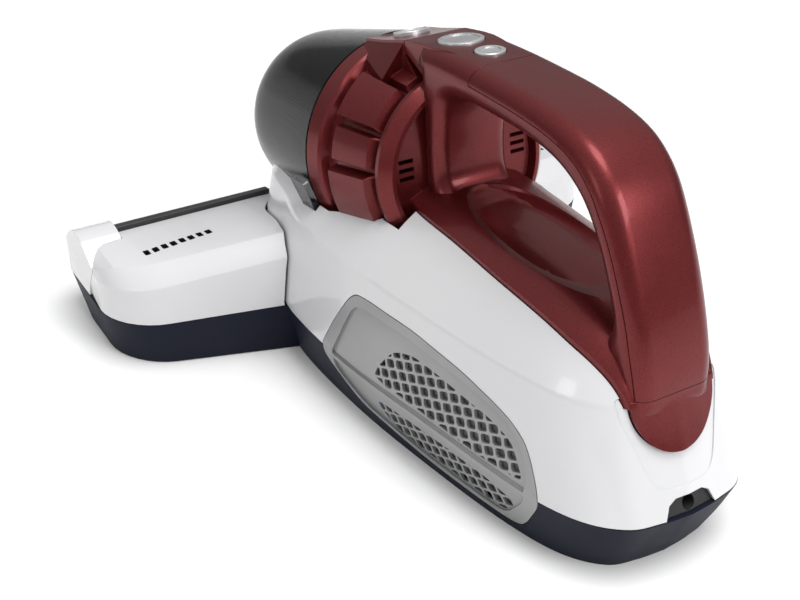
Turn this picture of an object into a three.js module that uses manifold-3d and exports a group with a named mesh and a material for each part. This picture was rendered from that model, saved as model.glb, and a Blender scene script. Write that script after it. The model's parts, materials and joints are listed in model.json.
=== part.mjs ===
// Handheld bed and upholstery vacuum: wide brush nozzle in front, boat shaped body,
// loop handle on top and a cyclone dust container lying in a cradle between them.
// Millimetres, +Z up, front of the machine towards -Y. The origin is on the ground,
// in the symmetry plane, halfway along the machine.
import * as THREE from 'three';
import { mergeVertices } from 'three/addons/utils/BufferGeometryUtils.js';
import Module from 'manifold-3d';

const wasm = await Module();
wasm.setup();

// ---------------------------------------------------------------- driving dimensions
const overallLength = 330;
const nozzleWidth = 290;
const nozzleSweep = 25; // how much further back the trailing edge is at the body
const bodyHalfWidth = 66.5;
const bodyHeight = 104.5;
const seamHeight = 28.2; // base to cover seam on the body
const seamDroop = 0.05; // fall of that seam per millimetre outwards
const gripWidth = 40;
const gripRound = 7;
const saddleShoulder = 10; // saddle beyond the grip on each side
const saddleProud = 1.5;
const wall = 2.5;
const seamGap = 0.4;
const runGap = 0.5;

const cycloneTilt = THREE.MathUtils.degToRad(9.2);
const bowlRadius = 53.5;
const bowlTaper = 11.5; // loss of radius from the seam to the front
const bowlLength = 92;
const bowlWall = 2;
const bowlClearance = 7.8; // container above the brush chamber
const ringLength = 46.5;
const ringTaper = 11.1; // loss of radius from the seam to the rear
const bulkheadThickness = 10;
const handleRise = 14.1; // handle above the container
const containerGap = 0.8;
const cradleWall = 3;

const rollerRadius = 18;
const bristleLength = 5.5;
const rollerInset = 24; // bristles to nozzle tip
const chamberClearance = 2;
const chamberWall = 1.6;
const axleRadius = 3;
const beltWidth = 6;
const beltThickness = 1.4;
const rollerPulleyRadius = 10;
const motorPulleyRadius = 5;
const brushMotorRadius = 11.5;
const brushMotorLength = 44;

const wheelRadius = 8;
const wheelWidth = 9;
const wheelTrack = 60;
const wheelAxleRadius = 2;
const ductRadius = 9.5;
const ductWall = 1.5;

// ---------------------------------------------------------------- sizes that follow
const front = -overallLength / 2;
const rear = overallLength / 2;
const bowlFrontRadius = bowlRadius - bowlTaper;
const ringRearRadius = bowlRadius - ringTaper;
const bulkheadRadius = ringRearRadius + 1.6;
const saddleHalfWidth = gripWidth / 2 + saddleShoulder;
const rollerLift = rollerRadius + 1;
const chamberRadius = rollerRadius + chamberClearance;
const chamberTop = rollerLift + chamberRadius + chamberWall;
const cycloneHeight = chamberTop + bowlClearance + bowlRadius;
const handleTop = cycloneHeight + bowlRadius + handleRise;
const tipHeight = chamberTop + 9.4;
const deckHeight = tipHeight + 10;
const rollerY = front + chamberRadius + 20;
const nozzleReach = 2 * chamberRadius + 43; // front edge to the trailing edge at the tips
const hullFront = front + 34;
const seamY = front + nozzleReach + 29.4;

// The side outlines are drawn for one run from the container's seam to the rear end and for
// one handle height. Any change falls in their plain stretches.
const drawn = { seam: -52.6, rear: 165, top: 169.5 };
const along = (y) => {
  const share = THREE.MathUtils.clamp((y - 25) / 75, 0, 1);
  return seamY + y - drawn.seam + share * (rear - seamY - drawn.rear + drawn.seam);
};
const lift = (z) => z + THREE.MathUtils.clamp((z - 104) / 44, 0, 1) * (handleTop - drawn.top);
const sideOutline = (points) => points.map(([y, z]) => [along(y), lift(z)]);

// ---------------------------------------------------------------- materials
const material = (color, roughness, metalness = 0) =>
  new THREE.MeshStandardMaterial({ color, roughness, metalness });
const white = material(0xe9e9ea, 0.3);
const navy = material(0x262a38, 0.45);
const maroon = material(0x6b2426, 0.28, 0.35);
const silver = material(0xb4b6b8, 0.35, 0.5);
const black = material(0x151517, 0.5);
const rubber = material(0x202022, 0.85);
const smoke = material(0x3a3c3d, 0.1);
const steel = material(0xb9bcc0, 0.3, 0.9);
const grey = material(0x8a8d92, 0.5);
const filterWhite = material(0xe4e2da, 0.9);
const foam = material(0x77787a, 0.95);
const bristle = material(0x3c4f78, 0.8);
const boardGreen = material(0x245c3a, 0.6);

// ---------------------------------------------------------------- solids
// A closed solid from any closed three.js geometry, with its faces turned outwards.
function solidOf(geometry, matrix = new THREE.Matrix4()) {
  const placed = geometry.clone().applyMatrix4(matrix);
  placed.deleteAttribute('normal');
  placed.deleteAttribute('uv');
  const merged = mergeVertices(placed, 1e-4);
  const positions = merged.attributes.position.array;
  const indices = Uint32Array.from(merged.index.array);
  if (signedVolume(positions, indices) < 0) {
    for (let i = 0; i < indices.length; i += 3) {
      [indices[i], indices[i + 1]] = [indices[i + 1], indices[i]];
    }
  }
  const mesh = new wasm.Mesh({ numProp: 3, vertProperties: positions, triVerts: indices });
  return new wasm.Manifold(mesh);
}

function signedVolume(positions, indices) {
  const point = (i) => new THREE.Vector3().fromArray(positions, 3 * i);
  let volume = 0;
  for (let i = 0; i < indices.length; i += 3) {
    const [a, b, c] = [indices[i], indices[i + 1], indices[i + 2]].map(point);
    volume += a.dot(b.cross(c));
  }
  return volume;
}

function geometryOf(solid) {
  const mesh = solid.getMesh();
  const geometry = new THREE.BufferGeometry();
  geometry.setAttribute('position', new THREE.Float32BufferAttribute(mesh.vertProperties, 3));
  geometry.setIndex(Array.from(mesh.triVerts));
  return geometry;
}

const union = (...solids) => solids.reduce((a, b) => a.add(b));
const cut = (solid, ...tools) => tools.reduce((a, b) => a.subtract(b), solid);
const common = (a, b) => a.intersect(b);

// A skin through rings of equally many points, closed by a fan at each end.
function skin(rings) {
  const count = rings[0].length;
  const centreOf = (ring) =>
    ring.reduce((sum, p) => sum.add(p), new THREE.Vector3()).divideScalar(count);
  const points = [...rings.flat(), centreOf(rings[0]), centreOf(rings.at(-1))];
  const [lowCentre, highCentre] = [points.length - 2, points.length - 1];
  const topStart = (rings.length - 1) * count;
  const index = [];
  for (let i = 0; i < count; i += 1) {
    const next = (i + 1) % count;
    index.push(lowCentre, next, i, highCentre, topStart + i, topStart + next);
    for (let level = 0; level < topStart; level += count) {
      const [a, b] = [level + i, level + next];
      index.push(a, b, b + count, a, b + count, a + count);
    }
  }
  return new THREE.BufferGeometry().setFromPoints(points).setIndex(index);
}

const shift = (x, y, z) => new THREE.Matrix4().makeTranslation(x, y, z);
const tiltFrame = shift(0, seamY, cycloneHeight)
  .multiply(new THREE.Matrix4().makeRotationX(cycloneTilt));
// Side profiles are drawn as (y, z) and grow along X.
const sideways = new THREE.Matrix4().makeBasis(
  new THREE.Vector3(0, 1, 0), new THREE.Vector3(0, 0, 1), new THREE.Vector3(1, 0, 0));

function box(x0, x1, y0, y1, z0, z1) {
  const geometry = new THREE.BoxGeometry(x1 - x0, y1 - y0, z1 - z0);
  return solidOf(geometry, shift((x0 + x1) / 2, (y0 + y1) / 2, (z0 + z1) / 2));
}

function rodX(radius, x0, x1, y, z, sides = 24) {
  const geometry = new THREE.CylinderGeometry(radius, radius, x1 - x0, sides).rotateZ(Math.PI / 2);
  return solidOf(geometry, shift((x0 + x1) / 2, y, z));
}

function rodY(radius, y0, y1, x, z, sides = 32) {
  const geometry = new THREE.CylinderGeometry(radius, radius, y1 - y0, sides);
  return solidOf(geometry, shift(x, (y0 + y1) / 2, z));
}

function rodZ(radius, z0, z1, x, y, sides = 20) {
  const geometry = new THREE.CylinderGeometry(radius, radius, z1 - z0, sides).rotateX(Math.PI / 2);
  return solidOf(geometry, shift(x, y, (z0 + z1) / 2));
}

// A body of revolution about the cyclone axis; profile points are (radius, place behind the seam).
function turned(profile, sides, matrix = new THREE.Matrix4()) {
  const points = profile.map(([radius, along]) => new THREE.Vector2(radius, along));
  return solidOf(new THREE.LatheGeometry([...points, points[0].clone()], sides), matrix);
}

function prismX(points, x0, x1) {
  const shape = new THREE.Shape(points.map(([y, z]) => new THREE.Vector2(y, z)));
  const geometry = new THREE.ExtrudeGeometry(shape, { depth: x1 - x0, bevelEnabled: false });
  return solidOf(geometry, shift(x0, 0, 0).multiply(sideways));
}

// The outline moved outwards by a distance, point by point.
function offsetOutline(points, distance) {
  const at = points.map(([y, z]) => new THREE.Vector2(y, z));
  const turn = THREE.ShapeUtils.isClockWise(at) ? -1 : 1;
  const normal = (from, to) => new THREE.Vector2(to.y - from.y, from.x - to.x).setLength(turn);
  return at.map((point, i) => {
    const before = normal(at.at(i - 1), point);
    const after = normal(point, at[(i + 1) % at.length]);
    const share = distance / Math.max(0.6, 1 + before.dot(after));
    return [point.x + share * (before.x + after.x), point.y + share * (before.y + after.y)];
  });
}

// A side profile grown along X whose long edges are rounded. A hole's edges open outwards.
function roundedPrismX(points, half, round, isHole = false) {
  const steps = 2;
  const rim = [];
  for (let i = 0; i <= steps; i += 1) {
    const turn = (Math.PI / 2) * (i / steps);
    rim.push([half - round * (1 - Math.cos(turn)), round * (1 - Math.sin(turn))]);
  }
  const layers = [...rim.map(([x, inset]) => [-x, inset]), ...rim.slice().reverse()];
  const clockwise = THREE.ShapeUtils.isClockWise(points.map(([y, z]) => new THREE.Vector2(y, z)));
  const ordered = clockwise ? points.slice().reverse() : points;
  const outwards = isHole ? 1 : -1;
  const rings = layers.map(([x, inset]) =>
    offsetOutline(ordered, outwards * inset).map(([y, z]) => new THREE.Vector3(x, y, z)));
  const flat = ordered.map(([y, z]) => new THREE.Vector2(y, z));
  const index = [];
  const count = ordered.length;
  const last = (rings.length - 1) * count;
  for (const [a, b, c] of THREE.ShapeUtils.triangulateShape(flat, [])) {
    index.push(c, b, a, last + a, last + b, last + c);
  }
  for (let level = 0; level < last; level += count) {
    for (let i = 0; i < count; i += 1) {
      const [a, b] = [level + i, level + ((i + 1) % count)];
      index.push(a, b, b + count, a, b + count, a + count);
    }
  }
  return solidOf(new THREE.BufferGeometry().setFromPoints(rings.flat()).setIndex(index));
}

function prismZ(points, z0, z1) {
  const shape = new THREE.Shape(points.map(([x, y]) => new THREE.Vector2(x, y)));
  const geometry = new THREE.ExtrudeGeometry(shape, { depth: z1 - z0, bevelEnabled: false });
  return solidOf(geometry, shift(0, 0, z0));
}

function tube(points, radius, steps, sides = 12) {
  const path = new THREE.CatmullRomCurve3(points.map((p) => new THREE.Vector3(...p)));
  const circle = new THREE.Shape().absarc(0, 0, radius, 0, 2 * Math.PI);
  return solidOf(new THREE.ExtrudeGeometry(circle, {
    extrudePath: path, steps, curveSegments: sides / 2,
  }));
}

const smooth = (points, count) =>
  new THREE.SplineCurve(points.map(([a, b]) => new THREE.Vector2(a, b)))
    .getPoints(count)
    .map((p) => [p.x, p.y]);

// ---------------------------------------------------------------- the outer envelope
// Nozzle: four levels of one outline with rounded corners.
function nozzleCorners(level, inset) {
  const { tip, frontSet, rearSet, heights } = level;
  const half = nozzleWidth / 2 - tip - inset;
  const rootHalf = bodyHalfWidth * 0.6;
  const yFront = front + frontSet + inset;
  const yTip = front + nozzleReach - rearSet - inset;
  const yRoot = yTip + nozzleSweep * (half - rootHalf) / (half - bodyHalfWidth);
  const [zFront, zTip, zRoot] = heights;
  return [
    { x: half, y: yFront, z: zFront, r: 12 },
    { x: half, y: yTip, z: zTip, r: 24 },
    { x: rootHalf, y: yRoot, z: zRoot, r: 2 },
    { x: -rootHalf, y: yRoot, z: zRoot, r: 2 },
    { x: -half, y: yTip, z: zTip, r: 24 },
    { x: -half, y: yFront, z: zFront, r: 12 },
  ];
}

// A ring with each corner rounded by a curve between two points on its sides.
function roundedRing(corners, steps = 5) {
  const at = corners.map((c) => new THREE.Vector3(c.x, c.y, c.z));
  return corners.flatMap((corner, i) => {
    const before = at.at(i - 1);
    const after = at[(i + 1) % at.length];
    const start = at[i].clone().add(before.clone().sub(at[i]).setLength(corner.r));
    const end = at[i].clone().add(after.clone().sub(at[i]).setLength(corner.r));
    return new THREE.QuadraticBezierCurve3(start, at[i], end).getPoints(steps);
  });
}

const seamAt = (x) => seamHeight - seamDroop * Math.max(0, Math.abs(x) - 29);
const tipSeam = seamAt(nozzleWidth / 2);
const bevelDrop = 7.5;
const bevelWidth = 12;

function nozzle(inset) {
  const low = Math.max(0, inset);
  const edge = tipHeight - bevelDrop - low;
  const top = tipHeight - low;
  const levels = [
    { tip: 3, frontSet: 16, rearSet: 0, heights: [0, 0, 0] },
    { tip: 0, frontSet: 3, rearSet: 0, heights: [tipSeam, tipSeam, seamHeight] },
    { tip: 0, frontSet: 0, rearSet: 0, heights: [edge - 8.5, edge, edge + 10] },
    { tip: 11, frontSet: 34, rearSet: bevelWidth, heights: [top - 2, top, top + 11] },
  ];
  return solidOf(skin(levels.map((level) => roundedRing(nozzleCorners(level, inset)))));
}

// Body: one outline, narrowed and pulled in from the rear as it rises.
const beltOutline = [
  [0, 0], [0.45, 0.01], [0.77, 0.07], [0.88, 0.16], [1, 0.274], [0.985, 0.473],
  [0.88, 0.676], [0.765, 0.828], [0.63, 0.925], [0.436, 0.98], [0.22, 0.995], [0, 1],
];
const hullLevels = [
  { z: 0, width: 0.91, pull: 12 },
  { z: seamHeight, width: 1, pull: 0 },
  { z: 50, width: 0.965, pull: 10 },
  { z: 62, width: 0.93, pull: 15 },
  { z: 73, width: 0.88, pull: 19 },
  { z: 81, width: 0.79, pull: 23 },
  { z: 89, width: 0.67, pull: 30 },
  { z: 95, width: 0.55, pull: 40 },
  { z: 100, width: 0.41, pull: 58 },
  { z: 103, width: 0.27, pull: 80 },
  { z: bodyHeight, width: 0.12, pull: 105 },
];

function hull(inset) {
  const half = bodyHalfWidth - inset;
  const length = rear - hullFront - 2 * inset;
  const side = smooth(beltOutline, 20);
  const outline = [...side, ...side.slice(1, -1).reverse().map(([w, l]) => [-w, l])];
  const scale = (bodyHeight - inset) / bodyHeight;
  const rings = hullLevels.map(({ z, width, pull }) =>
    outline.map(([w, l]) => {
      const y = hullFront + inset + l * length;
      const rise = z > seamHeight ? z * scale : z;
      return new THREE.Vector3(w * half * width, y - pull * Math.max(0, y / rear), rise);
    }));
  return solidOf(skin(rings));
}

// Everything below (or above) the drooping seam between the base and the covers.
function seamSide(above, gap) {
  const reach = nozzleWidth;
  const edge = [-reach, -29, 29, reach].map((x) => [x, seamAt(x) + gap]);
  const far = above ? bodyHeight * 3 : -bodyHeight;
  const points = [...edge, [reach, far], [-reach, far]];
  const shape = new THREE.Shape(points.map(([x, z]) => new THREE.Vector2(x, z)));
  const geometry = new THREE.ExtrudeGeometry(shape, { depth: 2 * overallLength, bevelEnabled: false });
  return solidOf(geometry.rotateX(Math.PI / 2), shift(0, overallLength, 0));
}

// The dust container's envelope about the cyclone axis, grown by a gap.
const bowlProfile = (gap) => [
  [0, -bowlLength - gap],
  [bowlFrontRadius * 0.8 + gap, -bowlLength - gap],
  [bowlFrontRadius * 0.96 + gap, -bowlLength + 3 - gap],
  [bowlFrontRadius + gap, -bowlLength + 9 - gap],
  [bowlRadius + gap, 0],
];
const ringProfile = (gap) => [
  [bowlRadius - 0.3 + gap, 0.4],
  [bowlRadius - 1.5 + gap, 10],
  [bowlRadius - 4.5 + gap, 13],
  [bowlRadius - 3 + gap, 18],
  [ringRearRadius + 3.5 + gap, 43],
  [ringRearRadius + gap, ringLength + gap],
];
const containerEnvelope = turned(
  [...bowlProfile(containerGap), ...ringProfile(containerGap), [0, ringLength + containerGap]],
  40, tiltFrame);

const outerNozzle = nozzle(0);
const innerNozzle = nozzle(wall);
const outerHull = hull(0);
const innerHull = hull(wall);
const grownHull = hull(-seamGap);

// ---------------------------------------------------------------- side grille outline
const grilleOutline = [
  [14, 65], [4, 63.5], [-18, 25], [-16, 20], [10, 8], [60, 4.5], [112, 4.5], [118, 7],
  [128.5, 26], [125, 35], [118, 48], [110, 54], [99, 58], [79, 62.3], [46, 65.4],
];
const grilleGrow = (gap) => {
  const middle = [along(52), 34];
  return sideOutline(grilleOutline).map(([y, z]) => {
    const away = new THREE.Vector2(y - middle[0], z - middle[1]);
    away.setLength(away.length() + gap);
    return [middle[0] + away.x, middle[1] + away.y];
  });
};
const grillePrism = (side, gap) => side > 0
  ? prismX(grilleGrow(gap), bodyHalfWidth * 0.55, bodyHalfWidth * 1.1)
  : prismX(grilleGrow(gap), -bodyHalfWidth * 1.1, -bodyHalfWidth * 0.55);

// ---------------------------------------------------------------- the assembly
const machine = new THREE.Group();
function piece(name, solid, look) {
  const mesh = new THREE.Mesh(geometryOf(solid), look);
  mesh.name = name;
  machine.add(mesh);
}
const sides = [['left', 1], ['right', -1]];

// ---------------------------------------------------------------- brush roller and its drive
const rollerReach = nozzleWidth / 2 - rollerInset; // bristles end here on the right
const beltX = rollerReach - 16; // on the left they stop short of the belt
const motorY = rollerY + chamberRadius + chamberWall + 19.4;
const motorZ = rollerLift + 11;
const bristleRows = 6;
const mouthX = [-rollerReach - 1, beltX - beltWidth / 2 - 2.5];

function rollerOutline() {
  const core = rollerRadius - bristleLength;
  const [toothHalf, rootHalf] = [0.1, 0.26];
  const tooth = [
    [-rootHalf, core], [-toothHalf, core], [-toothHalf, rollerRadius],
    [toothHalf, rollerRadius], [toothHalf, core], [rootHalf, core],
  ];
  const outline = [];
  for (let row = 0; row < bristleRows; row += 1) {
    const middle = (2 * Math.PI * row) / bristleRows;
    for (const [turn, radius] of tooth) {
      const angle = middle + turn;
      outline.push(new THREE.Vector2(radius * Math.cos(angle), radius * Math.sin(angle)));
    }
  }
  return new THREE.Shape(outline);
}

function addRoller() {
  const [rightEnd, leftEnd] = [-rollerReach, mouthX[1] - 1.5];
  const length = leftEnd - rightEnd;
  const growth = { depth: length, bevelEnabled: false, steps: 8 };
  const geometry = new THREE.ExtrudeGeometry(rollerOutline(), growth);
  const position = geometry.attributes.position;
  const lengthwise = new THREE.Vector3(0, 0, 1);
  const fullTwist = Math.PI / 1.5;
  for (let i = 0; i < position.count; i += 1) {
    const point = new THREE.Vector3().fromBufferAttribute(position, i);
    point.applyAxisAngle(lengthwise, (point.z / length) * fullTwist);
    position.setXYZ(i, point.x, point.y, point.z);
  }
  const brush = solidOf(geometry, shift(rightEnd, rollerY, rollerLift).multiply(sideways));
  const bore = (x0, x1) => rodX(axleRadius + seamGap, x0, x1, rollerY, rollerLift, 20);
  piece('brush_roller', cut(brush, bore(rightEnd - 1, leftEnd + 1)), bristle);
  piece('roller_axle', rodX(axleRadius, -rollerReach - 9, rollerReach + 1, rollerY, rollerLift, 16), steel);
  const pulleyHalf = beltWidth / 2 + 1;
  const pulley = rodX(rollerPulleyRadius, beltX - pulleyHalf, beltX + pulleyHalf, rollerY, rollerLift);
  piece('roller_pulley', cut(pulley, bore(beltX - 9, beltX + 9)), grey);
  const bearingWidth = 8;
  for (const [side, start] of [['left', rollerReach - 8], ['right', -rollerReach - 10]]) {
    const bearing = rodX(8, start, start + bearingWidth, rollerY, rollerLift, 20);
    piece(`roller_bearing_${side}`, cut(bearing, bore(start - 1, start + bearingWidth + 1)), grey);
  }
}

function beltSolid(extra, halfWidth) {
  const span = Math.hypot(motorY - rollerY, motorZ - rollerLift);
  const heading = Math.atan2(motorZ - rollerLift, motorY - rollerY);
  const [big, small] = [rollerPulleyRadius + extra, motorPulleyRadius + extra];
  const lean = Math.acos((big - small) / span);
  const points = [];
  const arc = (y, z, radius, from, to) => {
    for (let i = 0; i <= 12; i += 1) {
      const turn = from + (to - from) * (i / 12);
      points.push([y + radius * Math.cos(turn), z + radius * Math.sin(turn)]);
    }
  };
  arc(rollerY, rollerLift, big, heading + lean, heading + 2 * Math.PI - lean);
  arc(motorY, motorZ, small, heading - lean, heading + lean);
  return prismX(points, beltX - halfWidth, beltX + halfWidth);
}

function addBrushDrive() {
  const belt = cut(beltSolid(seamGap + beltThickness, beltWidth / 2), beltSolid(seamGap, beltWidth));
  piece('drive_belt', belt, rubber);
  const pulleyHalf = beltWidth / 2 + 0.5;
  const shaftRadius = 1.5;
  const pulley = rodX(motorPulleyRadius, beltX - pulleyHalf, beltX + pulleyHalf, motorY, motorZ);
  const shaft = rodX(shaftRadius, beltX - 14, beltX + pulleyHalf, motorY, motorZ, 12);
  piece('motor_pulley', union(pulley, shaft), steel);
  const motorEnd = beltX - pulleyHalf - 2;
  const can = rodX(brushMotorRadius, motorEnd - brushMotorLength, motorEnd, motorY, motorZ, 28);
  const bore = rodX(shaftRadius + runGap, motorEnd - 14, motorEnd + 1, motorY, motorZ, 12);
  piece('brush_motor', cut(can, bore), steel);
}

function addBrushChamber() {
  const arcPoints = (radius) => Array.from({ length: 17 }, (_, i) => {
    const turn = -0.25 + (Math.PI + 0.5) * (i / 16);
    return [rollerY + radius * Math.cos(turn), rollerLift + radius * Math.sin(turn)];
  });
  const section = [...arcPoints(chamberRadius + chamberWall), ...arcPoints(chamberRadius).reverse()];
  const outlet = rodY(ductRadius + 1.5, rollerY, rollerY + 2 * chamberRadius, 0, rollerLift + 4);
  piece('brush_chamber', cut(prismX(section, ...mouthX), outlet), grey);
}

// ---------------------------------------------------------------- base plate
const lampY = rollerY + chamberRadius + 13;
const lampReach = [-rollerReach + 14, 42];
const lampWindow = { halfDepth: 7, beyondTube: 4, height: 1.6 };
const wheelY = rear - 48;
const screwPlaces = [
  [nozzleWidth / 2 - 27, lampY + 1], [27 - nozzleWidth / 2, lampY + 1], [24, rear - 27], [-24, rear - 27],
];
const screw = { headRadius: 3.4, headHeight: 2.2, shankRadius: 1.5 };
const boss = { radius: 5.5, height: 16, boreRadius: 2 };

// A box between two heights, centred on a place of the plan.
const groundBox = (x, y, halfX, halfY, low, high) =>
  box(x - halfX, x + halfX, y - halfY, y + halfY, low, high);

function addBase() {
  const outer = common(union(outerNozzle, outerHull), seamSide(false, 0));
  const aboveFloor = box(-nozzleWidth, nozzleWidth, 2 * front, 2 * rear, wall, bodyHeight);
  let base = cut(outer, common(union(innerNozzle, innerHull), aboveFloor));
  for (const [x, y] of screwPlaces) {
    base = union(base, rodZ(boss.radius, wall / 2, boss.height, x, y));
  }
  for (const [x, y] of screwPlaces) {
    const headRoom = rodZ(screw.headRadius + seamGap, -1, screw.headHeight + 0.5, x, y);
    base = cut(base, headRoom, rodZ(boss.boreRadius, -1, boss.height + 1, x, y));
  }
  const mouthReach = chamberRadius - 3;
  const mouth = box(...mouthX, rollerY - mouthReach, rollerY + mouthReach, -1, wall + 1);
  const [x0, x1] = lampReach;
  const lampMiddle = (x0 + x1) / 2;
  const halfLength = lampMiddle - x0 + lampWindow.beyondTube;
  base = cut(base, mouth, groundBox(lampMiddle, lampY, halfLength, lampWindow.halfDepth, -1, wall + 1));
  for (const [, sign] of sides) {
    const x = (sign * wheelTrack) / 2;
    const reach = wheelRadius + 1.5;
    const well = groundBox(x, wheelY, wheelWidth / 2 + 3, reach + 1.5, wall / 2, wheelRadius + 4);
    const space = groundBox(x, wheelY, wheelWidth / 2 + 1, reach, -1, wheelRadius + 5);
    base = cut(union(base, well), space, wheelBore(x), grillePrism(sign, seamGap));
  }
  piece('base_plate', base, navy);
}

const wheelBore = (x) =>
  rodX(wheelAxleRadius + seamGap, x - wheelWidth, x + wheelWidth, wheelY, wheelRadius, 12);

function addWheels() {
  for (const [side, sign] of sides) {
    const x = (sign * wheelTrack) / 2;
    const tyre = rodX(wheelRadius, x - wheelWidth / 2, x + wheelWidth / 2, wheelY, wheelRadius, 32);
    piece(`rear_wheel_${side}`, cut(tyre, wheelBore(x)), rubber);
    const reach = wheelWidth / 2 + 2.6;
    piece(`wheel_axle_${side}`, rodX(wheelAxleRadius, x - reach, x + reach, wheelY, wheelRadius, 12), steel);
  }
}

function addScrews() {
  screwPlaces.forEach(([x, y], i) => {
    const head = rodZ(screw.headRadius, 0.3, 0.3 + screw.headHeight, x, y, 16);
    const shank = rodZ(screw.shankRadius, screw.headHeight, boss.height - 2, x, y, 10);
    piece(`base_screw_${i + 1}`, union(head, shank), steel);
  });
}

// ---------------------------------------------------------------- lamp
function addLamp() {
  const [x0, x1] = lampReach;
  const lampZ = 11;
  const { halfDepth, beyondTube, height } = lampWindow;
  const halfLength = (x1 - x0) / 2 + beyondTube - seamGap;
  const pane = groundBox((x0 + x1) / 2, lampY, halfLength, halfDepth - seamGap, 0.6, 0.6 + height);
  piece('lamp_window', pane, smoke);
  piece('lamp_tube', rodX(5, x0, x1, lampY, lampZ, 24), filterWhite);
  const socketLength = 5;
  for (const [side, start] of [['right', x0 - seamGap - socketLength], ['left', x1 + seamGap]]) {
    const socket = box(start, start + socketLength, lampY - 6.5, lampY + 6.5, wall + 0.4, 18);
    piece(`lamp_socket_${side}`, socket, black);
  }
  const arcOf = (radius) => Array.from({ length: 13 }, (_, i) => {
    const turn = Math.PI * (i / 12);
    return [lampY + radius * Math.cos(turn), lampZ + radius * Math.sin(turn)];
  });
  piece('lamp_reflector', prismX([...arcOf(8.2), ...arcOf(7).reverse()], x0 + 1, x1 - 1), steel);
}

// ---------------------------------------------------------------- nozzle cover and front bumper
const capInner = nozzleWidth / 2 - 27;
const stripInner = 38;
// Side profiles, as distances behind the front edge and above the nozzle's tips.
const fromTip = (points) => points.map(([y, z]) => [front + y, tipHeight + z]);
const capProfile = (gap) => [
  [front - 5, tipSeam + 0.2 - gap],
  ...fromTip([
    [-5, -20], [10, gap - 7.5], [24, gap + 4], [31, gap + 6.5], [42, gap + 5.5], [gap + 58, -7],
    [gap + 50, -14],
  ]),
  [front + 38 + gap, tipSeam + 0.2 - gap],
];
const stripProfile = (gap) =>
  fromTip([[27 - gap, -6 - gap], [28 - gap, 3.5 + gap], [34 + gap, 4.5 + gap], [35 + gap, -6 - gap]]);
const slots = { count: 8, pitch: 4.7, halfWidth: 1.3, tipInset: 60, rearInset: 12.5, length: 6.5 };
const acrossSides = (sign, near, far) => (sign > 0 ? [near, far] : [-far, -near]);

function addNozzleCover() {
  let cover = cut(common(outerNozzle, seamSide(true, seamGap)), innerNozzle, grownHull, containerEnvelope);
  const slotEnd = front + nozzleReach - slots.rearInset;
  for (const [, sign] of sides) {
    const capSpace = prismX(capProfile(seamGap), ...acrossSides(sign, capInner - seamGap, nozzleWidth));
    const stripSpace = prismX(stripProfile(seamGap), ...acrossSides(sign, stripInner - 1, capInner));
    cover = cut(cover, capSpace, stripSpace);
    for (let i = 0; i < slots.count; i += 1) {
      const x = sign * (nozzleWidth / 2 - slots.tipInset + i * slots.pitch);
      const [x0, x1] = [x - slots.halfWidth, x + slots.halfWidth];
      cover = cut(cover, box(x0, x1, slotEnd - slots.length, slotEnd, tipHeight - 10, tipHeight + 20));
    }
  }
  piece('nozzle_cover', cover, white);
}

function addBumper() {
  // The end caps follow the nozzle's plan outline, so they are cut from a taller nozzle block.
  const corners = nozzleCorners({ tip: 0, frontSet: 0, rearSet: 0, heights: [0, 0, 0] }, 0);
  const plan = roundedRing(corners).map((p) => [p.x, p.y]);
  const block = common(prismZ(plan, tipSeam + seamGap, tipHeight + 20), seamSide(true, seamGap));
  const belowChamberTop = box(-nozzleWidth, nozzleWidth, 2 * front, 0, 0, chamberTop + 0.4);
  const hollow = common(innerNozzle, belowChamberTop);
  for (const [side, sign] of sides) {
    const profile = prismX(capProfile(0), ...acrossSides(sign, capInner, nozzleWidth));
    piece(`bumper_cap_${side}`, cut(common(profile, block), hollow), white);
    const strip = prismX(stripProfile(0), ...acrossSides(sign, stripInner, capInner - seamGap));
    piece(`bumper_strip_${side}`, cut(strip, innerNozzle, grownHull, containerEnvelope), black);
  }
}

// ---------------------------------------------------------------- body shell, grilles, filters
const portY = seamY + 22;
const ductPath = [
  [0, rollerY + chamberRadius + 2.4, rollerLift + 5], [0, rollerY + chamberRadius + 22, rollerLift + 11],
  [0, portY - 22, rollerLift + 13], [0, portY - 2, rollerLift + 22], [0, portY, 60],
];
const ductBorePath = [[0, rollerY + chamberRadius - 3, rollerLift + 5], ...ductPath, [0, portY, 66]];
const tongueHalfWidth = saddleHalfWidth - 10;
const tongueCentre = 73; // height of the centre of its round lower end
const saddleOutline = (gap) => {
  const w = saddleHalfWidth + gap;
  const half = [
    [w - 4, along(-12) - gap], [w, along(8)], [w, along(74)], [w - 1.5, along(109)], [w - 3.5, along(124)],
    [w - 7, along(138)], [w - 10, along(150)], [w - 10, rear + 10],
  ];
  return [...half, ...half.slice().reverse().map(([x, y]) => [-x, y])];
};
// The saddle's tongue has a round lower end where it runs down the rear of the body.
function saddlePrism(gap) {
  const reach = 2 * bodyHalfWidth;
  const block = prismZ(saddleOutline(gap), 40, bodyHeight + 4);
  const upper = box(-reach, reach, front, rear + 20, tongueCentre - gap, 2 * bodyHeight);
  const tip = rodY(tongueHalfWidth + gap, 60, rear + 20, 0, tongueCentre, 40);
  const middle = box(-reach, reach, front, along(118), 60, 2 * bodyHeight);
  return common(block, union(upper, tip, middle));
}

// A disc that closes the handle's front, behind the container. Its room is deeper to the rear.
function bulkheadDisc(gap) {
  const near = ringLength + 1.2 - 1.75 * gap;
  const far = ringLength + bulkheadThickness + 5 * gap;
  const radius = bulkheadRadius + gap;
  return turned([[0, near], [radius, near], [radius, far], [0, far]], 40, tiltFrame);
}

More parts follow.
